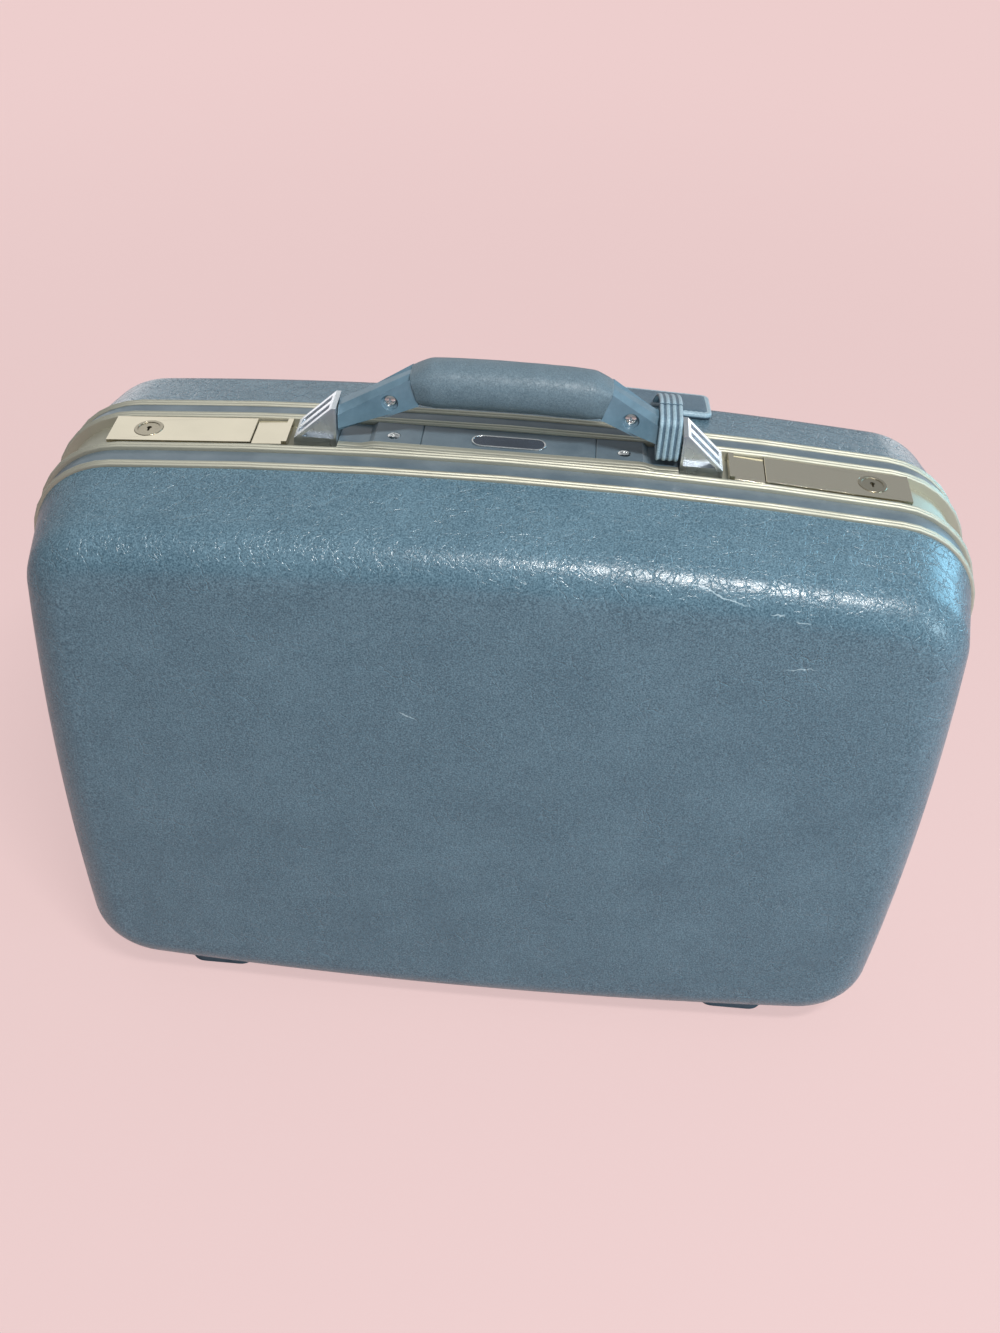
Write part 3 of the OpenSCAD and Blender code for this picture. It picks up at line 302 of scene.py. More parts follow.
def leather_grain(name, dark, light, creases, pebbles, deep, rough, marks=()):
    """Pressed leather grain: fine pebbles, a broken net of creases sunk among them and coloured paler, and pale
    scratches.
    """
    finish, tree, shader = new_finish(name, Specular_IOR_Level=0.42)
    at = lay(tree, "TexCoord").outputs["Object"]
    wander = lay(tree, "TexNoise", Vector=at, Scale=1.6 * creases, Detail=3.0)
    warped = lay(tree, "VectorMath", {"operation": "MULTIPLY_ADD"},
                 _0=wander.outputs["Color"], _1=(0.6 / creases,) * 3, _2=at).outputs[0]
    apart = lay(tree, "SeparateXYZ", Vector=at)
    deep_y = lay(tree, "Math", {"operation": "ABSOLUTE"}, _0=apart.outputs["Y"])
    folded = lay(tree, "MapRange", Value=deep_y.outputs[0], From_Min=(FACE_Y - 4) * MM, From_Max=FACE_Y * MM,
                 To_Min=0.0, To_Max=-0.13)
    sunk = None
    for scale, share, wide in ((creases, 1.0, 0.055), (2.1 * creases, 0.6, 0.08)):
        drawn = lay(tree, "Mapping", Vector=warped)
        drawn.inputs["Scale"].default_value = (1.25, 1.0, 0.8)
        net = lay(tree, "TexVoronoi", {"feature": "DISTANCE_TO_EDGE"}, Vector=drawn.outputs[0], Scale=scale)
        line = lay(tree, "MapRange", {"interpolation_type": "SMOOTHSTEP"}, Value=net.outputs["Distance"],
                   From_Min=0.0, From_Max=wide, To_Min=share, To_Max=0.0)
        patch = lay(tree, "TexNoise", Vector=at, Scale=0.5 * scale, Detail=2.0)
        fewer = lay(tree, "Math", {"operation": "ADD"}, _0=patch.outputs["Fac"], _1=folded.outputs[0])
        kept = lay(tree, "MapRange", Value=fewer.outputs[0], From_Min=0.38, From_Max=0.56)
        crease = lay(tree, "Math", {"operation": "MULTIPLY"}, _0=line.outputs[0], _1=kept.outputs[0]).outputs[0]
        sunk = crease if sunk is None else lay(tree, "Math", {"operation": "MAXIMUM"}, _0=sunk, _1=crease).outputs[0]
    cells = lay(tree, "TexVoronoi", {"feature": "DISTANCE_TO_EDGE"}, Vector=warped, Scale=pebbles)
    pebble = lay(tree, "MapRange", Value=cells.outputs["Distance"], From_Min=0.0, From_Max=0.25,
                 To_Min=0.0, To_Max=0.11)
    fine = lay(tree, "TexNoise", Vector=at, Scale=1.7 * pebbles, Detail=2.0)
    broad = lay(tree, "TexNoise", Vector=at, Scale=0.45 * creases, Detail=2.0)
    swell = lay(tree, "Math", {"operation": "MULTIPLY_ADD"}, _0=broad.outputs["Fac"], _1=0.9, _2=pebble.outputs[0])
    skin_height = lay(tree, "Math", {"operation": "MULTIPLY_ADD"}, _0=fine.outputs["Fac"], _1=0.12, _2=swell.outputs[0])
    height = lay(tree, "Math", {"operation": "SUBTRACT"}, _0=skin_height.outputs[0], _1=sunk)
    bump = lay(tree, "Bump", Strength=1.0, Distance=deep, Height=height.outputs[0])
    tree.links.new(bump.outputs[0], shader.inputs["Normal"])
    cloud = lay(tree, "TexNoise", Vector=at, Scale=26.0, Detail=6.0, Roughness=0.65)
    even = lay(tree, "MapRange", Value=cloud.outputs["Fac"], From_Min=0.0, From_Max=1.0, To_Min=0.36, To_Max=0.64)
    speck = lay(tree, "MapRange", Value=fine.outputs["Fac"], From_Min=0.3, From_Max=0.7, To_Min=-0.24, To_Max=0.24)
    tone = lay(tree, "Math", {"operation": "ADD"}, _0=even.outputs[0], _1=speck.outputs[0])
    base = two_tone(tree, tone.outputs[0], dark, light, 0.28, 0.74)
    # The creases are coloured paler than the grain round them.
    paler = lay(tree, "Math", {"operation": "MULTIPLY"}, _0=sunk, _1=0.3)
    pale_crease_colour = tuple(1.25 * c for c in light[:3]) + (1,)
    coloured = lay(tree, "MixRGB", Fac=paler.outputs[0], Color1=base, Color2=pale_crease_colour).outputs[0]
    for x, z, lean, half_long, half_wide in marks:
        spot = lay(tree, "Mapping", {"vector_type": "TEXTURE"}, Vector=warped)
        spot.inputs["Location"].default_value = (x * MM, 0, z * MM)
        spot.inputs["Rotation"].default_value = (0, math.radians(lean), 0)
        spot.inputs["Scale"].default_value = (half_long * MM, 1, half_wide * MM)
        away = lay(tree, "VectorMath", {"operation": "ABSOLUTE"}, _0=spot.outputs[0])
        sides = lay(tree, "SeparateXYZ", Vector=away.outputs[0])
        worst = lay(tree, "Math", {"operation": "MAXIMUM"}, _0=sides.outputs["X"], _1=sides.outputs["Z"])
        rubbed = lay(tree, "MapRange", Value=worst.outputs[0], From_Min=0.5, From_Max=1.0, To_Min=0.55, To_Max=0.0)
        coloured = lay(tree, "MixRGB", Fac=rubbed.outputs[0], Color1=coloured, Color2=ink(176, 192, 200)).outputs[0]
    tree.links.new(coloured, shader.inputs["Base Color"])
    worn = lay(tree, "MapRange", Value=cloud.outputs["Fac"], From_Min=0.3, From_Max=0.7,
               To_Min=rough + 0.06, To_Max=rough - 0.06)
    tree.links.new(worn.outputs[0], shader.inputs["Roughness"])
    return finish


# The lid's scratches, each as its place across and up, its lean in degrees, half its length and half its width.
lid_marks = ((117.8, 363.7, 14, 19, 0.4), (148.4, 356.5, 13, 3.6, 0.35), (161.8, 353.4, 14, 3.5, 0.35),
             (165.1, 323.4, -6, 9, 0.3), (-40.6, 268, 22, 5, 0.35))
for name, body, side, marks in (("lid_shell", "lid", -1, lid_marks), ("body_shell", "case_body", 1, ())):
    points, faces = swept(shell_profile, side, closed=False)
    grained_blue = leather_grain(name + "_grain", ink(52, 76, 90), ink(96, 122, 136), 92, 640, 0.0003, 0.25, marks)
    shell = new_piece(name + "_skin", points, faces, body, grained_blue, sharp=40)
    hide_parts(name)

# The frame is two rings of champagne anodised aluminium, drawn with a double bead at each edge and a seat for the
# stripe between the beads. The rear ring also carries the shallow channel for the latches and the handle.
def metal(name, colour, rough, grain=(60, 900, 900), depth=0.00004, uneven=0.1):
    """Polished or anodised metal, with faint drawn lines and uneven polish."""
    finish, tree, shader = new_finish(name, Metallic=1.0)
    at = lay(tree, "TexCoord").outputs["Object"]
    drawn = lay(tree, "Mapping", Vector=at)
    drawn.inputs["Scale"].default_value = grain
    line = lay(tree, "TexNoise", Vector=drawn.outputs[0], Scale=1.0, Detail=3.0)
    stain = lay(tree, "TexNoise", Vector=at, Scale=38.0, Detail=4.0)
    polish = lay(tree, "MapRange", Value=stain.outputs["Fac"], From_Min=0.3, From_Max=0.7,
                 To_Min=max(rough - uneven, 0.04), To_Max=rough + uneven)
    tree.links.new(polish.outputs[0], shader.inputs["Roughness"])
    shade = tuple(c * 0.86 for c in colour[:3]) + (1,)
    tint = lay(tree, "MixRGB", Fac=stain.outputs["Fac"], Color1=colour, Color2=shade)
    tree.links.new(tint.outputs[0], shader.inputs["Base Color"])
    bump = lay(tree, "Bump", Strength=0.4, Distance=depth, Height=line.outputs["Fac"])
    tree.links.new(bump.outputs[0], shader.inputs["Normal"])
    return finish


def dress(name, finish, round_by=0.0, sharp=35):
    """Gives a solid of the frame its finish, and breaks its hard edges as a real tool or mould does."""
    solid = nodes[name]
    solid.data.materials.clear()
    solid.data.materials.append(finish)
    solid.data.polygons.foreach_set("use_smooth", [True] * len(solid.data.polygons))
    weld = solid.modifiers.new("weld", "WELD")
    weld.merge_threshold = 0.000002
    if round_by:
        bevel = solid.modifiers.new("broken_edges", "BEVEL")
        bevel.width = round_by * MM
        bevel.segments = 2
        bevel.limit_method = "ANGLE"
        bevel.angle_limit = math.radians(sharp)
    split = solid.modifiers.new("hard_edges", "EDGE_SPLIT")
    split.split_angle = math.radians(60 if round_by else sharp)
    solid.modifiers.new("flat_faces", "WEIGHTED_NORMAL")
    return solid


champagne = metal("champagne_aluminium", ink(188, 186, 172), 0.62, uneven=0.06)
for name in ("lid_frame", "body_frame"):
    dress(name, champagne, sharp=50)

# Between the handle's brackets the rear ring's front edge is folded back over the base as a flat ridged lip,
# drawn in one with the ring. It steps down towards the brackets. The section is (depth, height over the base).
LIP_HALF_L, LIP_STEP_X, LIP_STEP_L, LIP_FALL = 92.4, 72.0, 9.0, 1.7
BASE_TOP = MIDDLE_Z + HALF_H - 0.1
lip_section = ((-13.15, -0.9), (-13.1, 0.1), (-12.8, 0.4), (-12.2, 0.5), (-10.9, 0.5), (-10.6, 0.25), (-10.3, 0.5),
               (-7.4, 0.5), (-6.9, 0.35), (-6.6, 0.02), (-6.6, -0.9))
points, faces = [], []
LIP_STATIONS, edge = 60, len(lip_section)
for j in range(LIP_STATIONS + 1):
    x = LIP_HALF_L * (2 * j / LIP_STATIONS - 1)
    fall = max(0.0, min(1.0, (abs(x) - LIP_STEP_X) / LIP_STEP_L))
    points += [(x, y, BASE_TOP + rise - LIP_FALL * fall * fall * (3 - 2 * fall)) for y, rise in lip_section]
for j in range(LIP_STATIONS):
    for i in range(edge):
        k = (i + 1) % edge
        faces.append((j * edge + i, (j + 1) * edge + i, (j + 1) * edge + k, j * edge + k))
faces += [tuple(range(edge)), tuple(LIP_STATIONS * edge + i for i in reversed(range(edge)))]
new_piece("channel_lip", points, faces, "case_body", champagne, sharp=40)

# The stripes are smooth blue strips of extruded plastic, snapped into the seats between the beads,
# slightly crowned and a shade greyer than the shells.
def smooth_blue(name, dark, light, rough):
    """Smooth moulded plastic: faint clouding in the colour, and the small unevenness of a moulded skin."""
    finish, tree, shader = new_finish(name, Roughness=rough)
    at = lay(tree, "TexCoord").outputs["Object"]
    cloud = lay(tree, "TexNoise", Vector=at, Scale=45.0, Detail=5.0, Roughness=0.65)
    tree.links.new(two_tone(tree, cloud.outputs["Fac"], dark, light), shader.inputs["Base Color"])
    skin_noise = lay(tree, "TexNoise", Vector=at, Scale=650.0, Detail=2.0)
    bump = lay(tree, "Bump", Strength=0.25, Distance=0.00008, Height=skin_noise.outputs["Fac"])
    tree.links.new(bump.outputs[0], shader.inputs["Normal"])
    return finish


stripe_blue = smooth_blue("stripe_blue", ink(74, 88, 98), ink(97, 110, 118), 0.34)
low, high = BEAD_IN_Y + BEAD_W / 2 + 0.15, BEAD_OUT_Y - BEAD_W / 2 - 0.15
crown = [(-1.25 + 0.3 * math.sin(math.pi * i / 8), low + (high - low) * i / 8) for i in range(9)]
stripe_profile = [(-2.55, high), (-2.55, low)] + crown
for name, body, side in (("lid_stripe", "lid", -1), ("body_stripe", "case_body", 1)):
    points, faces = swept(stripe_profile, side, closed=True)
    stripe = new_piece(name + "_strip", points, faces, body, stripe_blue)
    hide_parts(name)

# The feet are studs moulded in hard dark plastic, two under each half's bottom wall. Each is shaped to the wall
# that it sits on and fixed from the inside.
foot_plastic = smooth_blue("foot_plastic", ink(60, 78, 92), ink(76, 96, 110), 0.5)
for name in ("lid_feet", "body_feet"):
    dress(name, foot_plastic, 0.5)

# The hinges are two pairs of leaves rolled from plated sheet steel. One leaf is riveted under each frame half, and
# a steel pin runs through the knuckles.
sheet_steel = metal("sheet_steel", ink(176, 176, 172), 0.36)
for name in ("hinge_leaves_body", "hinge_leaves_lid", "hinge_pins"):
    dress(name, sheet_steel, 0.15)

# Each half is lined with a pale, plain woven cloth. It is stretched into the shell and glued, and its edge is
# tucked under the frame's lip.
def woven(name, dark, light, thread, rough=0.85):
    """A plain weave: threads over and under each other, with some uneven dyeing."""
    finish, tree, shader = new_finish(name, Roughness=rough, Sheen_Weight=0.2)
    at = lay(tree, "TexCoord").outputs["Object"]
    spread = lay(tree, "Mapping", Vector=at)
    spread.inputs["Scale"].default_value = (1 / thread,) * 3
    split = lay(tree, "SeparateXYZ", Vector=spread.outputs[0])
    across = lay(tree, "Math", {"operation": "SINE"}, _0=split.outputs["X"])
    upward = lay(tree, "Math", {"operation": "SINE"}, _0=split.outputs["Z"])
    weave = lay(tree, "Math", {"operation": "MULTIPLY"}, _0=across.outputs[0], _1=upward.outputs[0])
    cloud = lay(tree, "TexNoise", Vector=at, Scale=30.0, Detail=6.0, Roughness=0.7)
    tone = lay(tree, "Math", {"operation": "MULTIPLY_ADD"}, _0=weave.outputs[0], _1=0.12, _2=cloud.outputs["Fac"])
    tree.links.new(two_tone(tree, tone.outputs[0], dark, light), shader.inputs["Base Color"])
    bump = lay(tree, "Bump", Strength=0.5, Distance=0.0002, Height=weave.outputs[0])
    tree.links.new(bump.outputs[0], shader.inputs["Normal"])
    return finish


LINING_T = 1.0
lining_cloth = woven("lining_cloth", ink(156, 161, 164), ink(171, 175, 177), 0.00022)
lining_profile = (
    inside_skin(SHELL_T + 0.1 + LINING_T, LIP_OUT - LIP_T - 0.1 - LINING_T, LIP_Y - 0.5)[::-1]
    + inside_skin(SHELL_T + 0.1, LIP_OUT - LIP_T - 0.1, LIP_Y - 0.5))
for name, body, side in (("lid_lining", "lid", -1), ("body_lining", "case_body", 1)):
    points, faces = swept(lining_profile, side, closed=False)
    cloth = new_piece(name + "_cloth", points, faces, body, lining_cloth, sharp=50)
    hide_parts(name)

# Two webbing straps hold the clothes in the rear half. Each is riveted to the lining under a steel anchor and
# turns up through one slot of a plated frame buckle in the middle.
LINING_Y = FACE_Y - SHELL_T - 0.1 - LINING_T
STRAP_W, STRAP_T, STRAP_START, STRAP_END = 25.0, 1.6, 8.0, HALF_H - 40
TURN_FROM, TURN_L, TURN_RISE = 18.0, 9.0, 1.7


def ribbon(line, half_w, half_t, ribs, across, faces_out, closed=False):
    """A flat band along a line of (depth, height) points, with its ribs on the side that shows."""
    def thinned(u):
        return math.sqrt(max(0.0, 1 - max(0.0, (abs(u) - 0.86) / 0.14) ** 2))

    points, faces = [], []
    rows = len(line)
    for j, (y, z) in enumerate(line):
        before = Vector(line[(j - 1) % rows if closed else max(j - 1, 0)])
        after = Vector(line[(j + 1) % rows if closed else min(j + 1, rows - 1)])
        run = (after - before).normalized()
        out = faces_out * Vector((run.y, -run.x))
        for i in range(across + 1):
            u = 2 * i / across - 1
            lift = thinned(u) * (half_t + ribs(u * half_w))
            points.append((u * half_w, y + lift * out.x, z + lift * out.y))
        for i in range(across + 1):
            u = 1 - 2 * i / across
            lift = thinned(u) * half_t
            points.append((u * half_w, y - lift * out.x, z - lift * out.y))
    loop = 2 * (across + 1)
    for j in range(rows if closed else rows - 1):
        for i in range(loop):
            a, b = j * loop, (j + 1) % rows * loop
            k = (i + 1) % loop
            face = (a + i, a + k, b + k, b + i)
            faces.append(face if faces_out > 0 else face[::-1])
    if not closed:
        first, last = tuple(range(loop)), tuple((rows - 1) * loop + i for i in range(loop))
        faces += [first[::-1], last] if faces_out > 0 else [first, last[::-1]]
    return points, faces


webbing = woven("webbing", ink(58, 78, 96), ink(84, 106, 124), 0.0003)
for name, way in (("pack_strap_upper", 1), ("pack_strap_lower", -1)):
    line = []
    for i in range(61):
        far = STRAP_END + (STRAP_START - STRAP_END) * i / 60
        turned = max(0.0, min(1.0, (TURN_FROM - far) / TURN_L))
        sag = 0.12 * math.sin(far / 9)
        line.append((LINING_Y - 1.1 + sag - TURN_RISE * turned * turned * (3 - 2 * turned), MIDDLE_Z + way * far))
    points, faces = ribbon(line, STRAP_W / 2, STRAP_T / 2, lambda x: 0.07 * math.cos(x * 2.5), 40, way)
    strap = new_piece(name + "_webbing", points, faces, "case_body", webbing, sharp=60)
    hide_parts(name)
plated = metal("plated_casting", ink(216, 218, 218), 0.18, uneven=0.08)
dress("pack_buckle", plated, 0.5)
dress("pack_anchors", sheet_steel, 0.3)

# The lid carries a pocket of the lining cloth, sewn down at its foot and sides and gathered at its mouth
# by an elastic band in a sewn casing.
POCKET_W, POCKET_H, POCKET_FULLNESS = 420.0, 170.0, 1.06
POCKET_LOW = MIDDLE_Z - HALF_H - flat_out + 11
points, faces = [], []
NX, NZ = 300, 50
for j in range(NZ + 1):
    up_share = j / NZ
    for i in range(NX + 1):
        x = POCKET_W * (i / NX - 0.5)
        z = POCKET_LOW + POCKET_H * up_share
        hem = min(1.0, (POCKET_W / 2 - abs(x)) / 9, up_share * POCKET_H / 12)
        fold = 1 + math.sin(x / 2.1 + 2.4 * noise.noise(Vector((x / 33, z / 55, 0))))
        full = 0.3 + 1.0 * hem + hem * (0.12 + 0.75 * up_share ** 1.4) * fold
        points.append((x, -LINING_Y + 0.3 + full, z))
for j in range(NZ):
    for i in range(NX):
        a = j * (NX + 1) + i
        faces.append((a, a + NX + 1, a + NX + 2, a + 1))
pocket = new_piece("lid_pocket_cloth", points, faces, "lid", lining_cloth, sharp=80)
thick = pocket.modifiers.new("cloth_thickness", "SOLIDIFY")
thick.thickness = 0.35 * MM
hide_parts("lid_pocket")
points, faces = [], []
AROUND = 14
for i in range(NX + 1):
    x = POCKET_W * (i / NX - 0.5)
    gather = 2.75 + 0.4 * math.sin(x / 1.05 + 2 * noise.noise(Vector((x / 21, 5, 0))))
    for k in range(AROUND):
        a = 2 * math.pi * k / AROUND
        points.append((x, -LINING_Y + 3.4 + gather * math.cos(a),
                       POCKET_LOW + POCKET_H + 2.6 + 1.1 * gather * math.sin(a)))
for i in range(NX):
    for k in range(AROUND):
        n = (k + 1) % AROUND
        faces.append((i * AROUND + k, i * AROUND + n, (i + 1) * AROUND + n, (i + 1) * AROUND + k))
faces += [tuple(reversed(range(AROUND))), tuple(NX * AROUND + k for k in range(AROUND))]
band = new_piece("lid_pocket_casing", points, faces, "lid", webbing, sharp=80)
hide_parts("lid_pocket_band")

# The handle's base is a smooth blue moulding in the channel, in a middle and two ends, held by cross-slotted
# screws. The oval badge in its middle is a plated rim round a dark enamelled field, left bare.
base_blue = smooth_blue("base_blue", ink(66, 82, 93), ink(90, 105, 114), 0.3)
enamel = smooth_blue("dark_enamel", ink(28, 36, 48), ink(44, 54, 66), 0.25)
for name in ("handle_base", "handle_base_ends"):
    dress(name, base_blue, 0.3)
dress("base_screws", plated, 0.15)
dress("badge_rim", plated, 0.2)
dress("badge_field", enamel)

# The brackets are die castings, plated, with two grooves up the ramp and a hollow in each cheek. Steel pins
# through them carry the handle.
cast_plate = metal("cast_plate", ink(214, 220, 226), 0.24, grain=(1300, 1300, 1300), depth=0.0003, uneven=0.1)
for name in ("bracket_left", "bracket_right"):
    dress(name, cast_plate, 0.35)
dress("pivot_pins", sheet_steel)

# Each latch has a folded steel tray in the frame, a polished cover plate, a sliding button whose bolt hooks
# the keeper on the lid, a zigzag return spring, and a key lock with its ring.
polished = metal("polished_latch", ink(226, 218, 198), 0.14, grain=(40, 700, 700), uneven=0.06)
for name in ("latch_tray_left", "latch_tray_right", "latch_keepers"):
    dress(name, sheet_steel)
for name in ("latch_cover_left", "latch_cover_right", "latch_slide_left", "latch_slide_right"):
    dress(name, polished, 0.25)
# The lock's ring and plug are painted darker than the latch metal: painted shade for the shadow round and inside the
# lock.
lock_metal_shaded = metal("lock_metal_shaded", ink(176, 168, 150), 0.28, uneven=0.08)
dress("lock_rings", lock_metal_shaded, 0.2)
for name in ("lock_plug_left", "lock_plug_right"):
    dress(name, lock_metal_shaded, 0.2)

# Each return spring is a zigzag of flat spring steel, standing in the tray between the slide's tab and a post.
# On the real case it is pressed together as its slide is pushed back; here it is made at rest.
LATCH_X, SLIDE_TRAVEL, CHANNEL_Y = 170.0, 8.0, 1.05
SPRING_FROM, SPRING_TO, SPRING_TURNS, SPRING_SWING = -13.9, 19.5, 8, 3.4
SPRING_W, SPRING_LOW, SPRING_HIGH = 0.9, -6.4, -4.8
POST_LOW, POST_HIGH, POST_FROM, POST_TO, POST_T = -11.8, -4.0, 4.4, 9.0, 1.6
on_top = (Matrix.Translation((0, 0, MIDDLE_Z + top_c.y)) @ Matrix.Rotation(math.asin(LATCH_X / LONG_BOW), 4, "Y")
          @ Matrix.Translation((0, 0, LONG_BOW)))
spring_points, spring_faces = [], []
for i in range(SPRING_TURNS + 1):
    x = SPRING_FROM + (SPRING_TO - SPRING_FROM) * i / SPRING_TURNS
    y = CHANNEL_Y + 4.8 + SPRING_SWING * (i % 2)
    spring_points += [(x, y, SPRING_LOW), (x, y + SPRING_W, SPRING_LOW),
                      (x, y + SPRING_W, SPRING_HIGH), (x, y, SPRING_HIGH)]
    if i:
        a, b = 4 * i - 4, 4 * i
        spring_faces += [(a + k, b + k, b + (k + 1) % 4, a + (k + 1) % 4) for k in range(4)]
spring_faces += [(0, 1, 2, 3), tuple(4 * SPRING_TURNS + k for k in (3, 2, 1, 0))]
start = len(spring_points)
for x in (SPRING_TO - 0.05, SPRING_TO - 0.05 + POST_T):
    spring_points += [(x, CHANNEL_Y + y, z) for y, z in (
        (POST_FROM, POST_LOW), (POST_TO, POST_LOW), (POST_TO, POST_HIGH), (POST_FROM, POST_HIGH))]
spring_faces += [(start + k, start + 4 + k, start + 4 + (k + 1) % 4, start + (k + 1) % 4) for k in range(4)]
spring_faces += [tuple(start + k for k in range(4)), tuple(start + 7 - k for k in range(4))]
for name, way in (("left", -1), ("right", 1)):
    hand = Matrix.Diagonal((way, 1, 1, 1)) @ on_top
    faces = spring_faces if way < 0 else [face[::-1] for face in spring_faces]
    placed = [hand @ Vector(p) for p in spring_points]
    spring = new_piece("latch_spring_%s_zigzag" % name, placed, faces, "case_body", sheet_steel, sharp=30)
    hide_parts("latch_spring_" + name)
    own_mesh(spring)

# The handle's legs are smooth blue mouldings with bevelled long edges. Each is held by a screw in a recessed ring
# to the flat steel core that runs through the grip.
leg_blue = smooth_blue("leg_blue", ink(74, 98, 112), ink(98, 124, 140), 0.24)
for name in ("handle_leg_left", "handle_leg_right"):
    dress(name, leg_blue, 0.6)
dress("handle_core", sheet_steel)
dress("leg_screws", plated, 0.15)

# The grip is padding wrapped in a grained cover, nearly straight, bent down and drawn in at its ends where the
# cover is tucked behind the legs. Hands have left it slightly uneven.
TOP_Z = 383.75
GRIP_Z = TOP_Z + 34.9
LEG_X, LEG_IN_X, BEND_X = 92.4, 51.0, 42.0
LEG_FOOT_LOW, LEG_FOOT_HIGH, LEG_END_LOW, LEG_END_HIGH = 3.5, 18.25, 24.2, 41.3
GRIP_R, GRIP_END_R, GRIP_ARCH = 13.0, 9.4, 1.2
leg_top_a = math.atan2(LEG_END_HIGH - LEG_FOOT_HIGH, LEG_X - LEG_IN_X)
seam_top = TOP_Z + LEG_END_HIGH - 2.5 * math.tan(leg_top_a)
seam_low = TOP_Z + LEG_END_LOW
grip_tilt = math.atan2(5.0, seam_top - seam_low)
STATIONS, ROUND = 110, 64


def eased(d):
    return (d + math.sqrt(d * d + 3)) / 2


points, faces = [], []
for j in range(STATIONS + 1):
    t = 2 * j / STATIONS - 1
    t = math.copysign(abs(t) ** 0.8, t)
    x = t * (LEG_IN_X - 0.15)
    bent = (eased(abs(x) - BEND_X) - eased(-BEND_X)) / (eased(LEG_IN_X - BEND_X) - eased(-BEND_X))
    tilt = grip_tilt * t ** 5
    tall = GRIP_R - (GRIP_R - GRIP_END_R + 0.6) * bent
    deep = GRIP_R + 0.2 - (GRIP_R - GRIP_END_R - 0.4) * bent
    z = GRIP_Z - GRIP_ARCH * t * t - (GRIP_Z - GRIP_ARCH - (seam_top + seam_low) / 2) * bent
    squarer = 0.92 - 0.42 * bent
    for i in range(ROUND):
        a = 2 * math.pi * i / ROUND
        slack = 0.22 * (1 - bent) * noise.noise(Vector((x / 11, 2.2 * math.cos(a), 2.2 * math.sin(a))))
        over, out = (math.copysign(abs(c) ** squarer, c) for c in (math.sin(a), math.cos(a)))
        points.append((
            x + (tall + slack) * over * math.sin(tilt),
            CHANNEL_Y + (deep + slack) * out,
            z + (tall + slack) * over * math.cos(tilt)))
for j in range(STATIONS):
    for i in range(ROUND):
        k = (i + 1) % ROUND
        faces.append((j * ROUND + k, (j + 1) * ROUND + k, (j + 1) * ROUND + i, j * ROUND + i))
faces.append(tuple(range(ROUND)))
faces.append(tuple(STATIONS * ROUND + i for i in reversed(range(ROUND))))
grip_cover = leather_grain("grip_cover", ink(73, 90, 101), ink(99, 116, 126), 420, 950, 0.00012, 0.44)
grip = new_piece("grip_cover", points, faces, "handle", grip_cover, sharp=50)
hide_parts("handle_grip")

# The address tag hangs from the right leg by a double strap of grained leathercloth with ribbed, sewn edges.
# The strap loops round the leg and runs back to a stitched pouch, which lies on the rear shell, window down.
TAG_X, TAG_STRAP_W, TAG_STRAP_T, TAG_GAP = 85.4, 12.5, 1.8, 0.4
LEG_HALF_T, LEG_SPREAD, LEG_L, LOOP_R = 7.6, 1.8, 46.4, 3.6
leg_a = math.atan2(LEG_END_LOW - LEG_FOOT_LOW, LEG_X - LEG_IN_X)
near_edge, far_edge = LEG_X - TAG_X - TAG_STRAP_W / 2, LEG_X - TAG_X + TAG_STRAP_W / 2
loop_low = TOP_Z + LEG_FOOT_LOW + near_edge * math.tan(leg_a) - TAG_GAP - TAG_STRAP_T / 2
loop_high = TOP_Z + LEG_FOOT_HIGH + far_edge * math.tan(leg_top_a) + TAG_GAP + TAG_STRAP_T / 2
loop_half = LEG_HALF_T + LEG_SPREAD / LEG_L * far_edge + TAG_GAP + TAG_STRAP_T / 2
loop = []
for cy, cz, a0 in ((1, 1, 0), (-1, 1, 90), (-1, -1, 180), (1, -1, 270)):
    middle = Vector((CHANNEL_Y + cy * (loop_half - LOOP_R), (loop_high - LOOP_R) if cz > 0 else (loop_low + LOOP_R)))
    loop += [tuple(middle + LOOP_R * Vector((math.cos(a), math.sin(a))))
             for a in (math.radians(a0 + 9 * i) for i in range(11))]
POUCH_Y = 58.0
pouch_drop = TOP_Z - SHELL_STEP - (POUCH_Y - wall_foot.y) * math.tan(DRAFT) - TAG_X ** 2 / (2 * LONG_BOW)
tail_from = Vector((CHANNEL_Y + loop_half - 2.2, loop_high + 0.3))
tail_to = Vector((66.0, pouch_drop + 4.9))
TAIL_ARCH, RIB_RISE, RIB_APART = 5.0, 0.24, 3.4
tail = [tuple(tail_from.lerp(tail_to, i / 40) + Vector((0, TAIL_ARCH * math.sin(math.pi * (i / 40) ** 0.8))))
        for i in range(41)]


def ribbed(x):
    return RIB_RISE * math.cos(2 * math.pi * (x - RIB_APART / 2) / RIB_APART)


points, faces = ribbon(loop, TAG_STRAP_W / 2, TAG_STRAP_T / 2, ribbed, 48, 1, closed=True)
more, more_faces = ribbon(tail, TAG_STRAP_W / 2, TAG_STRAP_T / 2, ribbed, 48, -1)
faces += [tuple(i + len(points) for i in face) for face in more_faces]
points += more
# The tag's leathercloth is made twice, as a lit copy and a darker shaded copy. The shaded copy is painted shade in the
# strap's rib valleys and on the pouch's flat top. The lit copy is painted light on the strap's ribs and on the pouch's
# rim.
tag_cloth_lit = leather_grain("tag_cloth_lit", ink(112, 136, 150), ink(154, 176, 187), 260, 1000, 0.00015, 0.4)
tag_cloth_shaded = leather_grain("tag_cloth_shaded", ink(54, 74, 90), ink(88, 110, 124), 260, 1000, 0.00015, 0.45)
points = [(x + TAG_X, y, z) for x, y, z in points]
strap = new_piece("tag_strap_band", points, faces, None, tag_cloth_lit, sharp=60)
strap.data.materials.append(tag_cloth_shaded)
# The strap's rib valleys take the shaded copy, as painted shade.
for face in strap.data.polygons:
    face.material_index = int(ribbed(face.center.x / MM - TAG_X) < -0.02)
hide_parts("tag_strap")
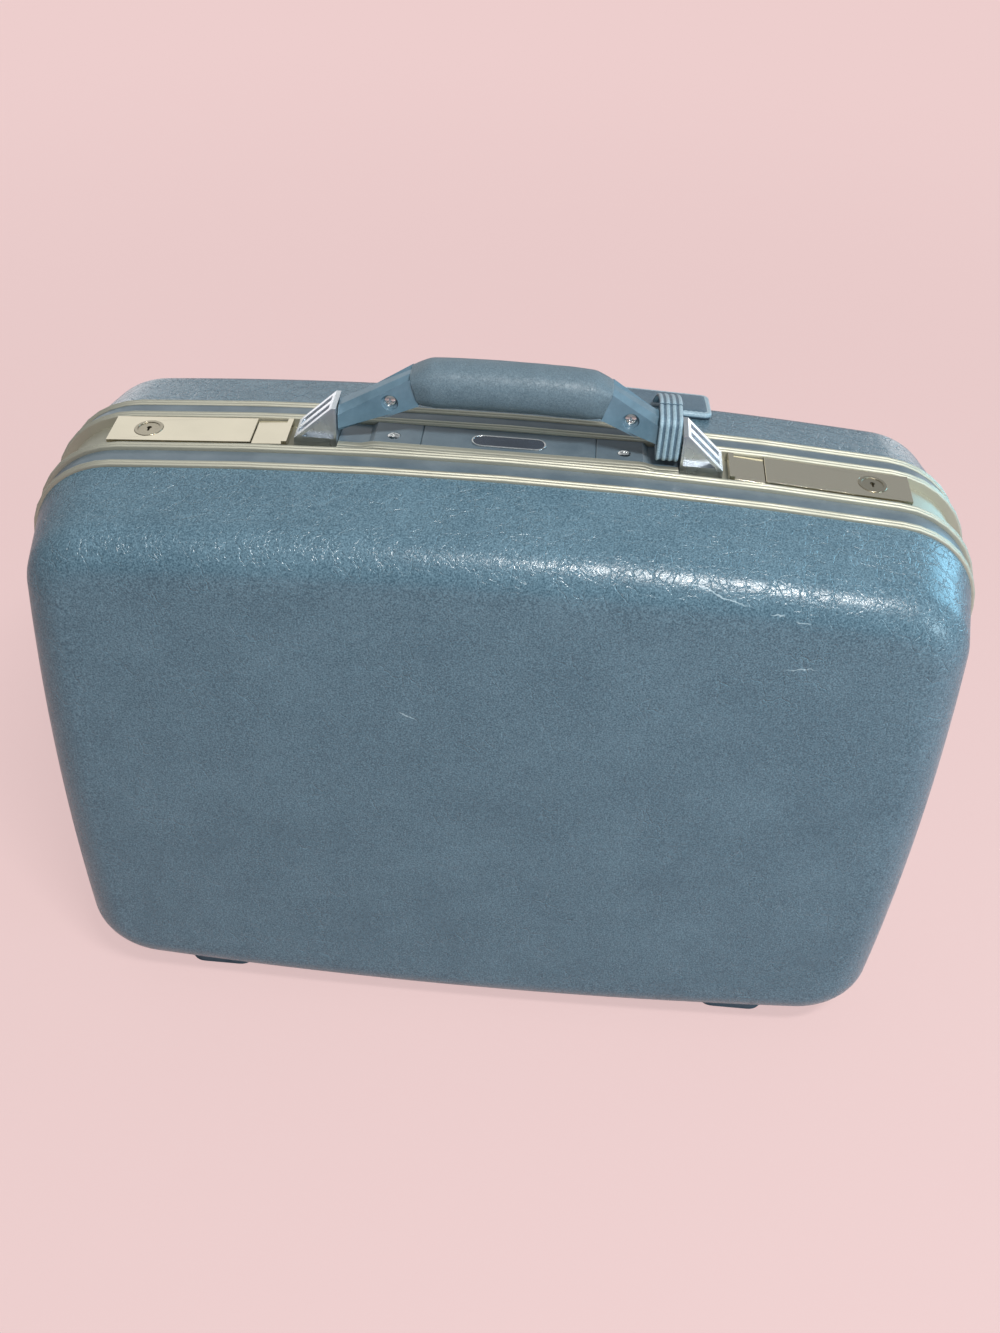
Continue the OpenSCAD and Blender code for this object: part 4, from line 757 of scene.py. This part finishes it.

# The pouch is two pieces of the same leathercloth sewn together round the edge. Its turned rim is painted lighter and
# its flat top darker, as painted light and painted shade.
# It lies flat on the rear shell's top wall and leans with it. The levels are (inset from the edge, height).
POUCH_L, POUCH_W, POUCH_R, POUCH_SEAM = 63.0, 35.0, 5.0, 2.6
place = (Matrix.Translation((TAG_X - 3, POUCH_Y, pouch_drop + 0.5))
         @ Matrix.Rotation(math.asin(TAG_X / LONG_BOW), 4, "Y") @ Matrix.Rotation(-DRAFT, 4, "X"))


def pouch_edge(inset, per_corner=10):
    """The pouch's rounded outline, moved inward."""
    r = max(POUCH_R - inset, 0.8)
    return [
        (sx * (POUCH_L / 2 - inset - r) + r * math.cos(a),
         POUCH_W / 2 + sy * (POUCH_W / 2 - inset - r) + r * math.sin(a))
        for sx, sy, a0 in ((1, 1, 0), (-1, 1, 1), (-1, -1, 2), (1, -1, 3))
        for a in ((a0 + i / per_corner) * math.pi / 2 for i in range(per_corner + 1))
    ]


levels = ((6.0, 0.62), (6.0, 0.0), (0.9, 0.0), (0.25, 0.5), (0.0, 1.4), (0.0, 2.4), (0.3, 3.1), (0.9, 3.5),
          (2.0, 3.7), (POUCH_SEAM, 3.4), (3.2, 3.75), (5.0, 3.95), (9.0, 4.1), (13.0, 4.15))
points = [place @ Vector((x, y, z)) for inset, z in levels for x, y in pouch_edge(inset)]
count = len(pouch_edge(0))
faces = [(j * count + i, j * count + (i + 1) % count, (j + 1) * count + (i + 1) % count, (j + 1) * count + i)
         for j in range(len(levels) - 1) for i in range(count)]
faces += [tuple(reversed(range(count))), tuple((len(levels) - 1) * count + i for i in range(count))]
pouch = new_piece("tag_pouch_cover", points, faces, "tag", tag_cloth_shaded, sharp=60)
pouch.data.materials.append(tag_cloth_lit)
# The rounded rim takes the lit copy and the rest takes the shaded copy: painted light and painted shade.
for number, face in enumerate(pouch.data.polygons):
    face.material_index = int(4 <= number // count < 9)
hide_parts("tag_pouch")

# Pale thread stitches run round the pouch, sunk a little in their seam. The window on its hidden side is a thin
# sheet of clouded plastic.
STITCH_APART = 3.0
seam = [Vector(p) for p in pouch_edge(POUCH_SEAM, 12)]
points, faces = [], []
spare = 0.0
for here, there in zip(seam, seam[1:] + seam[:1]):
    run = there - here
    gone = -spare
    while gone + STITCH_APART <= run.length:
        gone += STITCH_APART
        middle, ahead = here + run.normalized() * gone, run.normalized()
        side = Vector((-ahead.y, ahead.x))
        start = len(points)
        for along_share, wide, high in ((-1.0, 0.12, 3.42), (-0.5, 0.3, 3.72), (0.5, 0.3, 3.72), (1.0, 0.12, 3.42)):
            spot = middle + ahead * along_share
            points += [place @ Vector((*(spot + side * wide), high - 0.25)), place @ Vector((*spot, high)),
                       place @ Vector((*(spot - side * wide), high - 0.25))]
        for j in range(3):
            a, b = start + 3 * j, start + 3 * j + 3
            faces += [(a, b, b + 1, a + 1), (a + 1, b + 1, b + 2, a + 2), (a + 2, b + 2, b, a)]
        faces += [(start, start + 1, start + 2), (start + 11, start + 10, start + 9)]
    spare = run.length - gone
thread = woven("thread", ink(150, 166, 174), ink(182, 194, 198), 0.0001)
new_piece("tag_stitches", points, faces, "tag", thread, sharp=70)
clouded = smooth_blue("clouded_window", ink(196, 200, 196), ink(214, 216, 212), 0.2)
dress("tag_window", clouded, 0.1)
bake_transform(strap)
